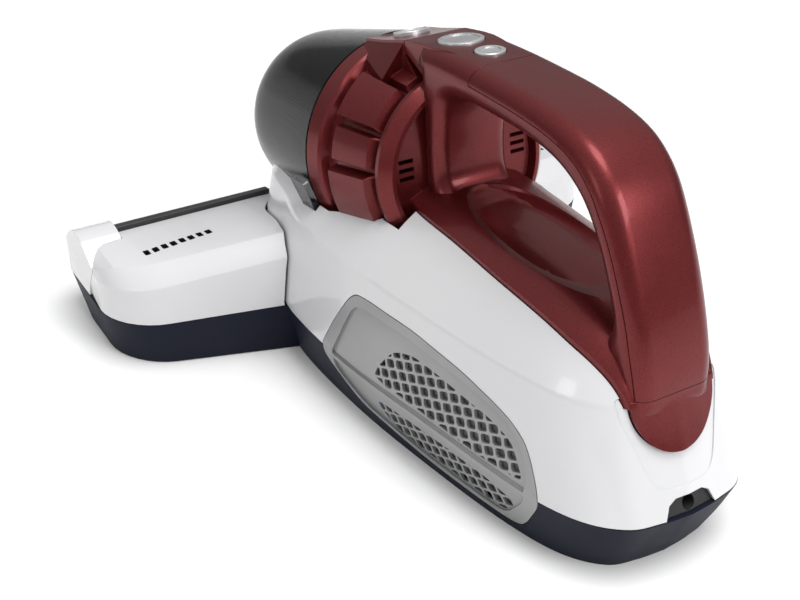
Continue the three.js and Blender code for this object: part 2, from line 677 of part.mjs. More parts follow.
function addBodyShell() {
  const cover = common(outerHull, seamSide(true, seamGap));
  const cradle = turned([
    [0, -bowlLength - 4], [bowlFrontRadius + cradleWall, -bowlLength - 4],
    [bowlRadius + containerGap + cradleWall, 0], [ringRearRadius + containerGap + cradleWall, ringLength],
    [0, ringLength],
  ], 40, tiltFrame);
  const reach = 2 * bodyHalfWidth;
  const cradleRoom = box(-reach, reach, front, along(20), chamberTop + 1.4, 2 * bodyHeight);
  const shell = union(cut(cover, innerHull), common(common(outerHull, cradle), cradleRoom));
  const nozzleEnd = front + nozzleReach + nozzleSweep - 4;
  const underNozzle = box(-reach, reach, 2 * front, nozzleEnd, 0, chamberTop + 1.9);
  const port = tube([...ductPath, [0, portY, 64]], ductRadius + seamGap, 14);
  let body = cut(shell, containerEnvelope, underNozzle, saddlePrism(seamGap), bulkheadDisc(seamGap));
  body = cut(body, inletOpening(seamGap), tabRecess(), port);
  for (const [, sign] of sides) {
    body = cut(body, grillePrism(sign, seamGap));
  }
  piece('body_shell', body, white);
}

const vents = { columns: 10, pitch: 9.6, width: 6.4 };

function addGrilles() {
  const panel = cut(outerHull, hull(wall + 0.5));
  const pad = cut(hull(wall + 1.2), hull(wall + 5.2));
  for (const [side, sign] of sides) {
    const across = acrossSides(sign, bodyHalfWidth * 0.3, bodyHalfWidth * 1.5);
    let grille = common(panel, grillePrism(sign, 0));
    for (let i = 0; i < vents.columns; i += 1) {
      const y = along(18 + i * vents.pitch);
      const high = 54 - Math.max(0, i - 6) * 5;
      const lower = box(...across, y, y + vents.width, 12 + i * 0.4, 26);
      grille = cut(grille, lower, box(...across, y, y + vents.width, 34, high));
    }
    piece(`vent_grille_${side}`, grille, silver);
    piece(`exhaust_filter_${side}`, common(pad, box(...across, along(16), along(117), 9, 56)), foam);
  }
}

// ---------------------------------------------------------------- handle, saddle and grip cover
const panelHalfWidth = gripWidth / 2 - 4;
const topLine = [
  [-12, 166.4], [5, 168.4], [25, 169.3], [45, 169.5], [65, 169.2], [85, 167.3], [100, 163.5],
  [111, 157], [120, 147.5], [129, 132], [137, 115], [143, 99], [147, 84], [148.2, 70],
];
const loopOutline = sideOutline([
  ...smooth(topLine, 20), [144, 60], [118, 78], [60, 94], [8, 88], [-2, 88], [-3, 100],
]);
const tongueOutline = sideOutline([
  [-26, 158.8], [-26, 163.9], [-12, 166.4], [5, 168.4], [25, 169.3], [25, 158], [-3, 148], [-12.6, 153.3],
]);
const openingOutline = sideOutline(smooth([
  [8, 140], [12, 148], [22, 151.8], [45, 153], [70, 152.4], [88, 149.3], [102, 142], [112, 130.5], [120, 116],
  [125.5, 102], [124, 94], [112, 92.5], [80, 96], [40, 100.5], [16, 104], [9, 108], [7, 120], [7, 132],
  [8, 140],
], 26).slice(0, -1));
const seamLine = sideOutline([
  [30, 162.5], [62, 162.2], [83, 160.6], [98, 157], [109, 150], [117.5, 140], [125, 128], [131, 116],
  [136, 104.5], [140, 93], [143, 83], [144.5, 76],
]);
// The grip cover is the part of the handle outside its seam line.
function coverPrism(gap) {
  const [[startY, startZ], [endY, endZ]] = [seamLine[0], seamLine.at(-1)];
  const inner = seamLine.slice(1).map(([y, z]) => [y - 0.7 * gap, z - 0.7 * gap]);
  const far = 2 * handleTop;
  return prismX([
    [startY - gap, startZ - gap], ...inner, [endY, endZ - gap], [2 * rear, endZ - gap], [2 * rear, far],
    [startY - gap, far],
  ], -gripWidth, gripWidth);
}

const buttons = [
  { name: 'power_button', y: along(-5.5), top: lift(167.2), halfLength: 9.5, halfWidth: 10.5, tilt: 0.12 },
  { name: 'release_button', y: along(16.5), top: lift(168.9), halfLength: 6, halfWidth: 7, tilt: 0.045 },
];
const buttonHeight = 4.5;
const buttonProud = 1;
const pocketDepth = 8.5;
const springRadius = 3.5;
const springTurns = 2;

function ovalPillar(button, gap, low, high) {
  const geometry = new THREE.CylinderGeometry(1, 1, high - low, 32).rotateX(Math.PI / 2);
  geometry.scale(button.halfWidth + gap, button.halfLength + gap, 1);
  geometry.translate(0, 0, (low + high) / 2);
  geometry.rotateX(button.tilt);
  return solidOf(geometry, shift(0, button.y, button.top));
}

// The air leaves the container through its rear, the bulkhead and an elbow.
const outlet = (gap) => tube([
  [0, seamY + 40.6, bodyHeight - 20.5], [0, seamY + 52.6, bodyHeight - 21.5],
  [0, seamY + 64.6, bodyHeight - 24.5],
], ductRadius + gap, 6, 16);

function addHandle() {
  const half = gripWidth / 2;
  // The tongue narrows towards the rear, so that its edges run out into the rounded handle.
  const [wide, narrow] = [panelHalfWidth, panelHalfWidth - 6];
  const tonguePlan = [
    [wide, along(-30)], [wide, along(-4)], [narrow, along(26)], [-narrow, along(26)], [-wide, along(-4)],
    [-wide, along(-30)],
  ];
  const tongue = common(prismX(tongueOutline, -wide, wide), prismZ(tonguePlan, 0, 2 * handleTop));
  const opening = roundedPrismX(openingOutline, half, gripRound, true);
  const loop = cut(union(roundedPrismX(loopOutline, half, gripRound), tongue), opening);
  const tray = new THREE.SphereGeometry(1, 20, 12).scale(half + 3, (along(128) - along(12)) / 2, 8);
  const trayPlace = shift(0, (along(128) + along(12)) / 2, bodyHeight + 1);
  const inside = hull(wall + 2);
  const cap = cut(common(saddlePrism(0), hull(-saddleProud)), inside);
  const saddle = cut(cap, cut(solidOf(tray, trayPlace), innerHull), containerEnvelope);
  const whole = union(cut(union(saddle, loop), inside), bulkheadDisc(0));
  let frame = cut(whole, coverPrism(seamGap), containerEnvelope, outlet(seamGap));
  for (const button of buttons) {
    frame = cut(frame, ovalPillar(button, seamGap, -pocketDepth, 10));
  }
  piece('handle_frame', frame, maroon);
  piece('grip_cover', common(whole, coverPrism(0)), maroon);
}

function addButtons() {
  for (const button of buttons) {
    piece(button.name, ovalPillar(button, 0, buttonProud - buttonHeight, buttonProud), silver);
    const [low, high] = [0.9 - pocketDepth, buttonProud - buttonHeight - 2.4];
    const steps = 12 * springTurns;
    const points = Array.from({ length: steps + 1 }, (_, i) => {
      const turn = 2 * Math.PI * springTurns * (i / steps);
      const height = button.top + low + (high - low) * (i / steps);
      return [springRadius * Math.cos(turn), button.y + springRadius * Math.sin(turn), height];
    });
    piece(`${button.name}_spring`, tube(points, 0.4, steps, 6), steel);
  }
}

// ---------------------------------------------------------------- dust container
function addHousing() {
  const outer = turned([[0, 0.4], ...ringProfile(0), [0, ringLength]], 40, tiltFrame);
  const panel = prismX(sideOutline([
    [-60.4, 140], [-60.4, 154.4], [-46, 158], [-33, 161.8], [-26.6, 163.7], [-26.6, 157.6], [-16, 150],
    [-16, 140],
  ]), -panelHalfWidth, panelHalfWidth);
  const inner = turned([
    [0, -1], [bowlRadius - 6, -1], [ringRearRadius - 2, ringLength - wall], [0, ringLength - wall],
  ], 40, tiltFrame);
  const far = 2 * bowlRadius;
  const bowlSide = turned([[0, -bowlLength], [far, -bowlLength], [far, 0.4], [0, 0.4]], 8, tiltFrame);
  const inletPort = rodZ(ductRadius - ductWall, 40, 70, 0, portY, 16);
  const block = union(outer, panel);
  piece('cyclone_housing', cut(block, inner, outlet(0), bowlSide, inletPort), maroon);

  const plate = new THREE.CylinderGeometry(1, 1, 2, 32).rotateX(Math.PI / 2).scale(9, 6.5, 1).rotateX(0.28);
  piece('badge_plate', cut(solidOf(plate, shift(0, along(-46.5), lift(158.6))), block), silver);
}

function addBowl() {
  const outside = [...bowlProfile(0).slice(0, -1), [bowlRadius, -0.3]];
  const inside = [
    [bowlRadius - bowlWall, -0.3], [bowlFrontRadius - bowlWall, 9 - bowlLength],
    [bowlFrontRadius * 0.8 - 1, bowlWall - bowlLength], [0, bowlWall - bowlLength],
  ];
  piece('dust_bowl', turned([...outside, ...inside], 40, tiltFrame), smoke);
  const [sealOuter, sealInner] = [bowlRadius - bowlWall - 1, bowlRadius - bowlWall - 3.5];
  const seal = [[sealInner, -3], [sealInner, 0.1], [sealOuter, 0.1], [sealOuter, -3]];
  piece('bowl_seal', turned(seal, 40, tiltFrame), rubber);
  piece('bowl_tab', tabSolid(tabOutline, 0), smoke);
}

function pleatedShape(inner, outer, pleats) {
  const points = Array.from({ length: 2 * pleats }, (_, i) => {
    const turn = (Math.PI * i) / pleats;
    return new THREE.Vector2(Math.cos(turn), Math.sin(turn)).multiplyScalar(i % 2 ? inner : outer);
  });
  return new THREE.Shape(points);
}

function addFilters() {
  const shroud = [[16, -62], [26, 0.1], [24.4, 0.1], [14.5, -60.5], [0, -60.5], [0, -62]];
  piece('cyclone_shroud', turned(shroud, 32, tiltFrame), black);
  const pleated = new THREE.ExtrudeGeometry(pleatedShape(20, 30, 20), { depth: 24, bevelEnabled: false });
  const place = tiltFrame.clone().multiply(shift(0, 8, 0));
  piece('pre_motor_filter', solidOf(pleated.rotateX(-Math.PI / 2), place), filterWhite);
  const dish = [[0, 0.8], [34, 0.8], [34, 6], [31, 6], [31, 4], [0, 4]];
  piece('filter_frame', turned(dish, 32, tiltFrame), grey);
}

// The tab stands on the bowl's left flank, low down, and dips into a recess of the cradle.
const tabTurn = THREE.MathUtils.degToRad(106);
const tabThickness = 3;
const tabOutline = [[-11, -3], [-11, 20], [11, 6], [11, -1], [2, -3]]; // down round the bowl, forward
// The recess opens upwards for the bowl's twist, and forwards and up for the container's way out.
const recessOutline = [[-30, -3], [-30, 95], [11, 6], [11, -1], [2, -3]];
function tabSolid(outline, gap) {
  const middle = new THREE.Vector2(0, 6);
  const shape = new THREE.Shape(outline.map(([down, forward]) => {
    const away = new THREE.Vector2(down, forward).sub(middle);
    return away.setLength(away.length() + gap).add(middle);
  }));
  const geometry = new THREE.ExtrudeGeometry(shape, { depth: tabThickness + 2 * gap, bevelEnabled: false });
  const [sine, cosine] = [Math.sin(tabTurn), Math.cos(tabTurn)];
  const frame = new THREE.Matrix4().makeBasis(
    new THREE.Vector3(cosine, 0, -sine), new THREE.Vector3(0, -1, 0), new THREE.Vector3(sine, 0, cosine));
  const radius = bowlRadius + 0.6 - gap;
  const place = shift(sine * radius, 0, cosine * radius);
  return solidOf(geometry, tiltFrame.clone().multiply(place).multiply(frame));
}
const tabRecess = () => tabSolid(recessOutline, 1.5);

// ---------------------------------------------------------------- air path, suction motor, electrics
const fanY = seamY + 96.6;
const fanZ = 52;
const fanHousingRadius = 36;
const fanRadius = 31;
const suctionMotorRadius = 28;
const suctionMotorLength = 44;
const shaftRadius = 2.5;
const shaftEnd = suctionMotorLength + 28;
const fanRod = (radius, y0, y1, count = 32) => rodY(radius, fanY + y0, fanY + y1, 0, fanZ, count);

function addAirPath() {
  const [x0, x1] = lampReach;
  const lampRoom = box(x0 - 8, x1 + 8, lampY - 9, lampY + 9, 0, 20);
  const bore = tube(ductBorePath, ductRadius - ductWall, 13);
  piece('suction_duct', cut(tube(ductPath, ductRadius, 12), bore, lampRoom, containerEnvelope), grey);
  const elbowPath = [
    [0, seamY + 62.6, bodyHeight - 22.9], [0, seamY + 65.6, bodyHeight - 23.5],
    [0, seamY + 71.6, bodyHeight - 27.5], [0, seamY + 74.6, fanZ + 14], [0, fanY - 18, fanZ + 4],
    [0, fanY - 10, fanZ],
  ];
  const elbowBorePath = [[0, seamY + 55, bodyHeight - 22.5], ...elbowPath, [0, fanY - 4, fanZ]];
  const elbowBore = tube(elbowBorePath, ductRadius - ductWall, 12);
  const fanRoom = box(-20, 20, fanY - 8 - seamGap, fanY + 20, 0, bodyHeight);
  const elbow = tube(elbowPath, ductRadius, 10);
  piece('intake_elbow', cut(elbow, elbowBore, fanRoom, bulkheadDisc(seamGap)), grey);
}

function addFan() {
  const shell = fanRod(fanHousingRadius, -8, 12, 40);
  const room = fanRod(fanHousingRadius - 2, -6, 13, 40);
  piece('fan_housing', cut(shell, room, fanRod(9, -9, 0)), black);
  const bladeCount = 9;
  let fan = union(fanRod(fanRadius, 5, 7, 36), fanRod(9.5, -2, 9, 24));
  for (let i = 0; i < bladeCount; i += 1) {
    const turn = (2 * Math.PI * i) / bladeCount;
    const blade = new THREE.BoxGeometry(21, 7, 1.4).translate(19, 0, 0).rotateY(turn);
    fan = union(fan, solidOf(blade, shift(0, fanY + 2, fanZ)));
  }
  piece('impeller', cut(fan, fanRod(shaftRadius + seamGap, -9, 19, 16)), grey);
}

function addMotor() {
  piece('motor_shaft', fanRod(shaftRadius, -1, shaftEnd, 16), steel);
  const can = fanRod(suctionMotorRadius, 20, 20 + suctionMotorLength, 36);
  piece('suction_motor', cut(can, fanRod(shaftRadius + runGap, 10, 80, 16)), steel);
  piece('motor_bell', cut(fanRod(fanHousingRadius, 12.4, 19.6, 40), fanRod(6, 0, 30, 20)), black);
  const mountWidth = 8;
  for (const [end, start] of [['front', 22], ['rear', suctionMotorLength + 10]]) {
    const hole = fanRod(suctionMotorRadius + seamGap, start - 1, start + mountWidth + 1);
    piece(`motor_mount_${end}`, cut(fanRod(suctionMotorRadius + 4, start, start + mountWidth), hole), rubber);
  }
}

const inlet = { halfWidth: 14, height: 32, holeRadius: 4 };
const inletOpening = (gap) =>
  box(-inlet.halfWidth - gap, inlet.halfWidth + gap, rear - 14, rear + 10, 20, inlet.height + 5 + gap);

function addElectrics() {
  const boardY = fanY + shaftEnd + 5;
  piece('circuit_board', box(-30, 30, boardY, boardY + 1.6, 30, 66), boardGreen);
  const { halfWidth, height, holeRadius } = inlet;
  const block = box(-halfWidth, halfWidth, rear - 12, rear + 10, seamHeight + seamGap, height + 5);
  const gland = common(outerHull, block);
  piece('cord_inlet', cut(gland, rodY(holeRadius, rear - 20, rear + 10, 0, height + 0.6, 20)), black);
}

addBase();
addWheels();
addScrews();
addLamp();
addRoller();
addBrushDrive();
addBrushChamber();
addNozzleCover();
addBumper();
addBodyShell();
addGrilles();
addHandle();
addButtons();
addHousing();
addBowl();
addFilters();
addAirPath();
addFan();
addMotor();
addElectrics();

export default machine;
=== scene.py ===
"""Handheld bed and upholstery vacuum: visible pieces, materials, light and camera.

Lengths are in millimetres until a mesh is made, with +Z up and the nozzle towards -Y.
"""

import json
import math
from functools import partial

import bmesh
import bpy
import numpy as np
from mathutils import Matrix, Vector


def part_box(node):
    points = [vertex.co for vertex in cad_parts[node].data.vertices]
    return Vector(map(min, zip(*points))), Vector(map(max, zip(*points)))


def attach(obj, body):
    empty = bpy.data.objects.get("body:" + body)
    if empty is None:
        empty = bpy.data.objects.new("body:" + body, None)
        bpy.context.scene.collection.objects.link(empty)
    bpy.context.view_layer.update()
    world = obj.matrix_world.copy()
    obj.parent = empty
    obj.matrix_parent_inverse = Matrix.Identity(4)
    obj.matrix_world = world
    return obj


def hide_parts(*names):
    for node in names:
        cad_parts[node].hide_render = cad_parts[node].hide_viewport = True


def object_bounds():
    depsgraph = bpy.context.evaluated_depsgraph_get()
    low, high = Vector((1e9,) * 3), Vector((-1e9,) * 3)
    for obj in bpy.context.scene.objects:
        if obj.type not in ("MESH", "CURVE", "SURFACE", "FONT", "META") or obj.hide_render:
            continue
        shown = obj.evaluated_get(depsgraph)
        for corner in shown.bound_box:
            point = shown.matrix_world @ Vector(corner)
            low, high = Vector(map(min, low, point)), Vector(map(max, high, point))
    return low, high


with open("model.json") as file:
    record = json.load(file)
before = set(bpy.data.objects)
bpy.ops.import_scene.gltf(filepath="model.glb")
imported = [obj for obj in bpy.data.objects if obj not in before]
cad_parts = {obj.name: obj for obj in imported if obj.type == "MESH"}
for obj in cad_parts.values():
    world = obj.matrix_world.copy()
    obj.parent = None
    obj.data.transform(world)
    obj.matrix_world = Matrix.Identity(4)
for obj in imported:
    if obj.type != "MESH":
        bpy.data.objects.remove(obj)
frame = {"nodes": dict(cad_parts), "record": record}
low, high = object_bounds()

MM = 0.001
SIDES = {"left": 1, "right": -1}
JOINTS = {joint["name"]: joint for joint in frame["record"]["behaviour"]["joints"]}
SLOT_OF = {entry["node"]: entry["material_slot"] for entry in frame["record"]["subparts"]}
BODY_OF = {
    node: body
    for body, nodes in frame["record"]["behaviour"]["bodies"].items()
    for node in nodes
}


def extent(node):
    """Lowest and highest corner of a node in millimetres."""
    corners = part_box(node)
    return [np.array(corner) / MM for corner in corners]


# ------------------------------------------------------------------ camera
def add_camera():
    data = bpy.data.cameras.new("main_camera")
    data.lens = 54.98
    data.sensor_width = 36
    camera = bpy.data.objects.new("main_camera", data)
    camera.location = (0.2831, 0.4161, 0.3470)
    camera.rotation_euler = (math.radians(90 - 31.53), 0, math.radians(149.09))
    bpy.context.scene.collection.objects.link(camera)
    bpy.context.scene.camera = camera


# ------------------------------------------------------------------ sizes
FRONT = low.y / MM
REAR = high.y / MM
NOZZLE_HALF = high.x / MM
TIP_FRONT_RADIUS = 12
TIP_REAR_RADIUS = 24
NOZZLE_REACH = 83
NOZZLE_SWEEP = 25
BODY_HALF = 66.5
BODY_HEIGHT = 104.5
HULL_FRONT = FRONT + 34
SEAM = 28.2
SEAM_DROOP = 0.05
SEAM_LEVEL_HALF = 29
DECK_HEIGHT = 61
DECK_INNER = 66
DECK_OUTER = 134
TIP_HEIGHT = 50
TIP_ROUNDING = 11
NOSE_HEIGHT = 34
NOSE_REACH = 34
FOOT_TUCK = 0.022
BEVEL_DROP = 7.5
BEVEL_WIDTH = 12
MERGE_REACH = 0.001
FAR = 400
WALL = 2.5
GAP = 0.4
CONTAINER_GAP = 0.8
SEAM_GAP = 1.1
GRIP_HALF = 20
SADDLE_HALF = 30
SADDLE_PROUD = 1.5
SADDLE_TONGUE_CENTRE = 73
SADDLE_TONGUE_RADIUS = 20

TWIST = JOINTS["bowl_twist"]
SEAM_CENTRE = np.array(TWIST["pos_m"]) / MM
TILT = math.atan2(-TWIST["axis"][2], -TWIST["axis"][1])
BOWL_RADIUS = 53.5
BOWL_FRONT_RADIUS = 42
BOWL_LENGTH = 92
BOWL_WALL = 2
RING_LENGTH = 46.5
RING_REAR_RADIUS = 42.4
BULKHEAD_RADIUS = 44
BULKHEAD_REAR = 57


# ------------------------------------------------------------------ curves
def spline(points, per_span, closed=False):
    """Points along a smooth curve through the given ones."""
    at = np.asarray(points, float)
    count = len(at)
    if closed:
        padded = np.vstack([at[-1:], at, at[:2]])
        spans = count
    else:
        padded = np.vstack([2 * at[:1] - at[1:2], at, 2 * at[-1:] - at[-2:-1]])
        spans = count - 1
    made = []
    for span in range(spans):
        p0, p1, p2, p3 = padded[span:span + 4]
        for step in range(per_span):
            t = step / per_span
            made.append(0.5 * (2 * p1 + (p2 - p0) * t + (2 * p0 - 5 * p1 + 4 * p2 - p3) * t ** 2
                               + (3 * p1 - p0 - 3 * p2 + p3) * t ** 3))
    if not closed:
        made.append(at[-1])
    return np.array(made)


def soften(points, radius, steps=4):
    """The outline with each corner turned into a short curve."""
    at = np.asarray(points, float)
    made = []
    for i, corner in enumerate(at):
        before = at[i - 1] - corner
        after = at[(i + 1) % len(at)] - corner
        reach_in = min(radius, 0.45 * np.linalg.norm(before))
        reach_out = min(radius, 0.45 * np.linalg.norm(after))
        start = corner + before / np.linalg.norm(before) * reach_in
        end = corner + after / np.linalg.norm(after) * reach_out
        for step in range(steps + 1):
            t = step / steps
            made.append((1 - t) ** 2 * start + 2 * t * (1 - t) * corner + t ** 2 * end)
    return np.array(made)


def offset(outline, distance):
    """The closed outline moved outwards by a distance."""
    at = np.asarray(outline, float)
    area = 0.5 * np.sum(at[:, 0] * np.roll(at[:, 1], -1) - np.roll(at[:, 0], -1) * at[:, 1])
    along = np.roll(at, -1, axis=0) - at
    normal = np.stack([along[:, 1], -along[:, 0]], axis=1) * np.sign(area)
    normal /= np.linalg.norm(normal, axis=1)[:, None] + 1e-9
    before = np.roll(normal, 1, axis=0)
    share = distance / np.maximum(0.6, 1 + np.sum(before * normal, axis=1))
    return at + (before + normal) * share[:, None]


# ------------------------------------------------------------------ solids
def make(name, points, faces):
    """A closed mesh piece from points in millimetres, its doubles merged and its faces outwards."""
    mesh = bpy.data.meshes.new(name)
    mesh.from_pydata((np.asarray(points, float) * MM).tolist(), [], faces)
    shape = bmesh.new()
    shape.from_mesh(mesh)
    bmesh.ops.remove_doubles(shape, verts=shape.verts, dist=MERGE_REACH * MM)
    bmesh.ops.dissolve_degenerate(shape, edges=shape.edges, dist=1e-7)
    bmesh.ops.recalc_face_normals(shape, faces=shape.faces)
    shape.to_mesh(mesh)
    shape.free()
    piece = bpy.data.objects.new(name, mesh)
    bpy.context.scene.collection.objects.link(piece)
    return piece


def loft(name, rings, closed=False):
    """A skin over rings of equally many points; a closed one joins its last ring to its first."""
    rings = np.asarray(rings, float)
    levels, count = rings.shape[:2]
    faces = []
    for level in range(levels if closed else levels - 1):
        base = level * count
        above = ((level + 1) % levels) * count
        for i in range(count):
            j = (i + 1) % count
            faces.append((base + i, base + j, above + j, above + i))
    if not closed:
        faces.append(tuple(range(count))[::-1])
        faces.append(tuple(range((levels - 1) * count, levels * count)))
    return make(name, rings.reshape(-1, 3), faces)


def prism(name, outline, start, end, axis):
    """An outline in the other two axes, in order, grown along one axis."""
    flat = np.asarray(outline, float)
    rings = [np.insert(flat, axis, place, axis=1) for place in (start, end)]
    return loft(name, rings)


def block(name, corner, opposite):
    (x0, y0, z0), (x1, y1, z1) = corner, opposite
    return prism(name, [(x0, y0), (x1, y0), (x1, y1), (x0, y1)], z0, z1, 2)


def ellipse(a, b, count=48, centre=(0, 0)):
    turns = np.linspace(0, 2 * math.pi, count, endpoint=False)
    return np.stack([centre[0] + a * np.cos(turns), centre[1] + b * np.sin(turns)], axis=1)


def rounded_prism(name, outline, half, radius, flared=False):
    """A side profile grown along X with rounded long edges; a flared one opens outwards."""
    turns = np.linspace(0, math.pi / 2, 9)
    rim = [(half - radius * (1 - math.cos(t)), radius * (1 - math.sin(t))) for t in turns]
    layers = [(-x, inset) for x, inset in rim] + list(reversed(rim))
    sign = 1 if flared else -1
    rings = []
    for x, inset in layers:
        rings.append(np.insert(offset(outline, sign * inset), 0, x, axis=1))
    return loft(name, rings)


def cyclone_point(radius, along, turn):
    """A point about the cyclone axis: place behind the seam, and turn from the top towards +X."""
    side = radius * np.sin(turn)
    up = radius * np.cos(turn)
    y = SEAM_CENTRE[1] + along * math.cos(TILT) - up * math.sin(TILT)
    z = SEAM_CENTRE[2] + along * math.sin(TILT) + up * math.cos(TILT)
    return np.stack([side, y, z], axis=-1)


def turned(name, profile, count=96):
    """A closed profile of (radius, place behind the seam) turned about the cyclone axis."""
    profile = np.asarray(profile, float)
    turns = np.linspace(0, 2 * math.pi, count, endpoint=False)
    rings = [cyclone_point(profile[:, 0], profile[:, 1], turn) for turn in turns]
    return loft(name, rings, closed=True)


def bake(piece):
    """The piece with its modifiers turned into plain mesh."""
    graph = bpy.context.evaluated_depsgraph_get()
    mesh = bpy.data.meshes.new_from_object(piece.evaluated_get(graph))
    piece.modifiers.clear()
    piece.data = mesh
    return piece


def combine(piece, others, operation):
    """The piece after one boolean step with each of the others, which are used up."""
    for other in others:
        step = piece.modifiers.new(operation, "BOOLEAN")
        step.object = other
        step.operation = operation
        step.solver = "MANIFOLD"
        bake(piece)
        if not piece.data.polygons:
            raise RuntimeError(f"{piece.name} is empty after {operation} with {other.name}")
    for other in set(others):
        bpy.data.objects.remove(other)
    return piece


def cut(piece, *others):
    return combine(piece, others, "DIFFERENCE")


def join(piece, *others):
    return combine(piece, others, "UNION")


def keep(piece, *others):
    return combine(piece, others, "INTERSECT")


def smooth(piece, degrees):
    """Smooth shading, but sharp where faces meet at more than an angle."""
    for face in piece.data.polygons:
        face.use_smooth = True
    piece.data.set_sharp_from_angle(angle=math.radians(degrees))


# ------------------------------------------------------------------ materials
def add_node(tree, kind, values=None, **settings):
    node = tree.nodes.new(kind)
    for key, value in settings.items():
        setattr(node, key, value)
    for key, value in (values or {}).items():
        node.inputs[key].default_value = value
    return node


def new_material(name, **values):
    """A material with one shader, and its object coordinates."""
    made = bpy.data.materials.new(name)
    made.use_nodes = True
    tree = made.node_tree
    tree.nodes.clear()
    shader = add_node(tree, "ShaderNodeBsdfPrincipled")
    for key, value in values.items():
        shader.inputs[key.replace("_", " ")].default_value = value
    output = add_node(tree, "ShaderNodeOutputMaterial")
    tree.links.new(shader.outputs["BSDF"], output.inputs["Surface"])
    place = add_node(tree, "ShaderNodeTexCoord")
    return made, tree, shader, place.outputs["Object"]


def noise(tree, place, scale, detail=3.0):
    values = {"Scale": scale, "Detail": detail, "Roughness": 0.55}
    node = add_node(tree, "ShaderNodeTexNoise", values)
    tree.links.new(place, node.inputs["Vector"])
    return node.outputs["Fac"]


def spread(tree, source, low_value, high_value, start=0.3, end=0.7):
    """The source mapped onto a range of values."""
    values = {"From Min": start, "From Max": end, "To Min": low_value, "To Max": high_value}
    node = add_node(tree, "ShaderNodeMapRange", values)
    tree.links.new(source, node.inputs["Value"])
    return node.outputs["Result"]


def blend_colours(tree, factor, first, second):
    node = add_node(tree, "ShaderNodeMix", data_type="RGBA")
    node.inputs[6].default_value = (*first, 1)
    node.inputs[7].default_value = (*second, 1)
    tree.links.new(factor, node.inputs[0])
    return node.outputs[2]


def relief(tree, shader, height, strength, distance, edge=0.0):
    """Fine relief, over softly rounded edges if an edge radius is given."""
    values = {"Strength": strength, "Distance": distance}
    bump = add_node(tree, "ShaderNodeBump", values)
    tree.links.new(height, bump.inputs["Height"])
    if edge:
        rounding = add_node(tree, "ShaderNodeBevel", {"Radius": edge}, samples=4)
        tree.links.new(rounding.outputs["Normal"], bump.inputs["Normal"])
    tree.links.new(bump.outputs["Normal"], shader.inputs["Normal"])


def moulded_plastic(name, colour, shade, roughness, coat=0.0, metallic=0.0, grain=0.02, wear=0.2,
                    specular=0.5):
    """Moulded plastic: faint colour drift, uneven gloss, fine orange peel and soft edges."""
    made, tree, shader, place = new_material(
        name, Metallic=metallic, Coat_Weight=coat, Coat_Roughness=0.05, Specular_IOR_Level=specular)
    drift = noise(tree, place, 14)
    tint = blend_colours(tree, spread(tree, drift, 0, 1), colour, shade)
    tree.links.new(tint, shader.inputs["Base Color"])
    patches = noise(tree, place, 40, detail=2)
    gloss = spread(tree, patches, roughness * (1 - wear), roughness * (1 + wear))
    tree.links.new(gloss, shader.inputs["Roughness"])
    relief(tree, shader, noise(tree, place, 1400, detail=1), grain, 0.0003, edge=0.0004)
    return made


def flake_paint(name, colour, glow):
    """Clear coated metallic paint with tiny flakes."""
    made, tree, shader, place = new_material(
        name, Metallic=0.7, Coat_Weight=0.22, Coat_Roughness=0.08, Coat_IOR=1.4)
    flakes = add_node(tree, "ShaderNodeTexVoronoi", {"Scale": 3200})
    tree.links.new(place, flakes.inputs["Vector"])
    sparkle = spread(tree, flakes.outputs["Distance"], 0, 1, 0.0, 0.8)
    tint = blend_colours(tree, sparkle, glow, colour)
    tree.links.new(tint, shader.inputs["Base Color"])
    wear = noise(tree, place, 60, detail=4)
    tree.links.new(spread(tree, wear, 0.31, 0.37), shader.inputs["Roughness"])
    relief(tree, shader, noise(tree, place, 900, detail=1), 0.015, 0.0003, 0.0005)
    return made


def brushed_metal(name, colour):
    """Bright metal with fine lines drawn along X."""
    made, tree, shader, place = new_material(name, Metallic=1.0)
    stretch = add_node(tree, "ShaderNodeMapping", {"Scale": (40, 900, 900)})
    tree.links.new(place, stretch.inputs["Vector"])
    lines = noise(tree, stretch.outputs["Vector"], 1.0, detail=2)
    tint = blend_colours(tree, lines, colour, [0.8 * part for part in colour])
    tree.links.new(tint, shader.inputs["Base Color"])
    tree.links.new(spread(tree, lines, 0.24, 0.39), shader.inputs["Roughness"])
    relief(tree, shader, lines, 0.05, 0.0002)
    return made


def rubber_like(name, colour):
    """Matt rubber with a fine grain."""
    made, tree, shader, place = new_material(name)
    grain = noise(tree, place, 700, detail=4)
    tint = blend_colours(tree, grain, colour, [1.7 * part for part in colour])
    tree.links.new(tint, shader.inputs["Base Color"])
    tree.links.new(spread(tree, grain, 0.55, 0.8), shader.inputs["Roughness"])
    relief(tree, shader, grain, 0.25, 0.0003)
    return made


def woven_cloth(name, colour, shade, scale=1500):
    """Matt cloth, foam or bristle: light cells in a darker web."""
    made, tree, shader, place = new_material(name, Roughness=0.95)
    weave = add_node(tree, "ShaderNodeTexVoronoi", {"Scale": scale})
    tree.links.new(place, weave.inputs["Vector"])
    tint = blend_colours(tree, spread(tree, weave.outputs["Distance"], 0, 1, 0, 0.7), shade, colour)
    tree.links.new(tint, shader.inputs["Base Color"])
    relief(tree, shader, weave.outputs["Distance"], 0.4, 0.0003)
    return made


def clear_plastic(name, colour, roughness=0.04):
    """Clear tinted plastic with faint streaks and wipe marks."""
    made, tree, shader, place = new_material(name, Transmission_Weight=1.0, IOR=1.49)
    streaks = noise(tree, place, 35, detail=6)
    tint = blend_colours(tree, spread(tree, streaks, 0, 1), colour, [0.8 * part for part in colour])
    tree.links.new(tint, shader.inputs["Base Color"])
    haze = spread(tree, noise(tree, place, 120, detail=5), roughness, roughness * 2.5, 0.4, 0.8)
    tree.links.new(haze, shader.inputs["Roughness"])
    relief(tree, shader, noise(tree, place, 60, detail=1), 0.02, 0.0005)
    return made


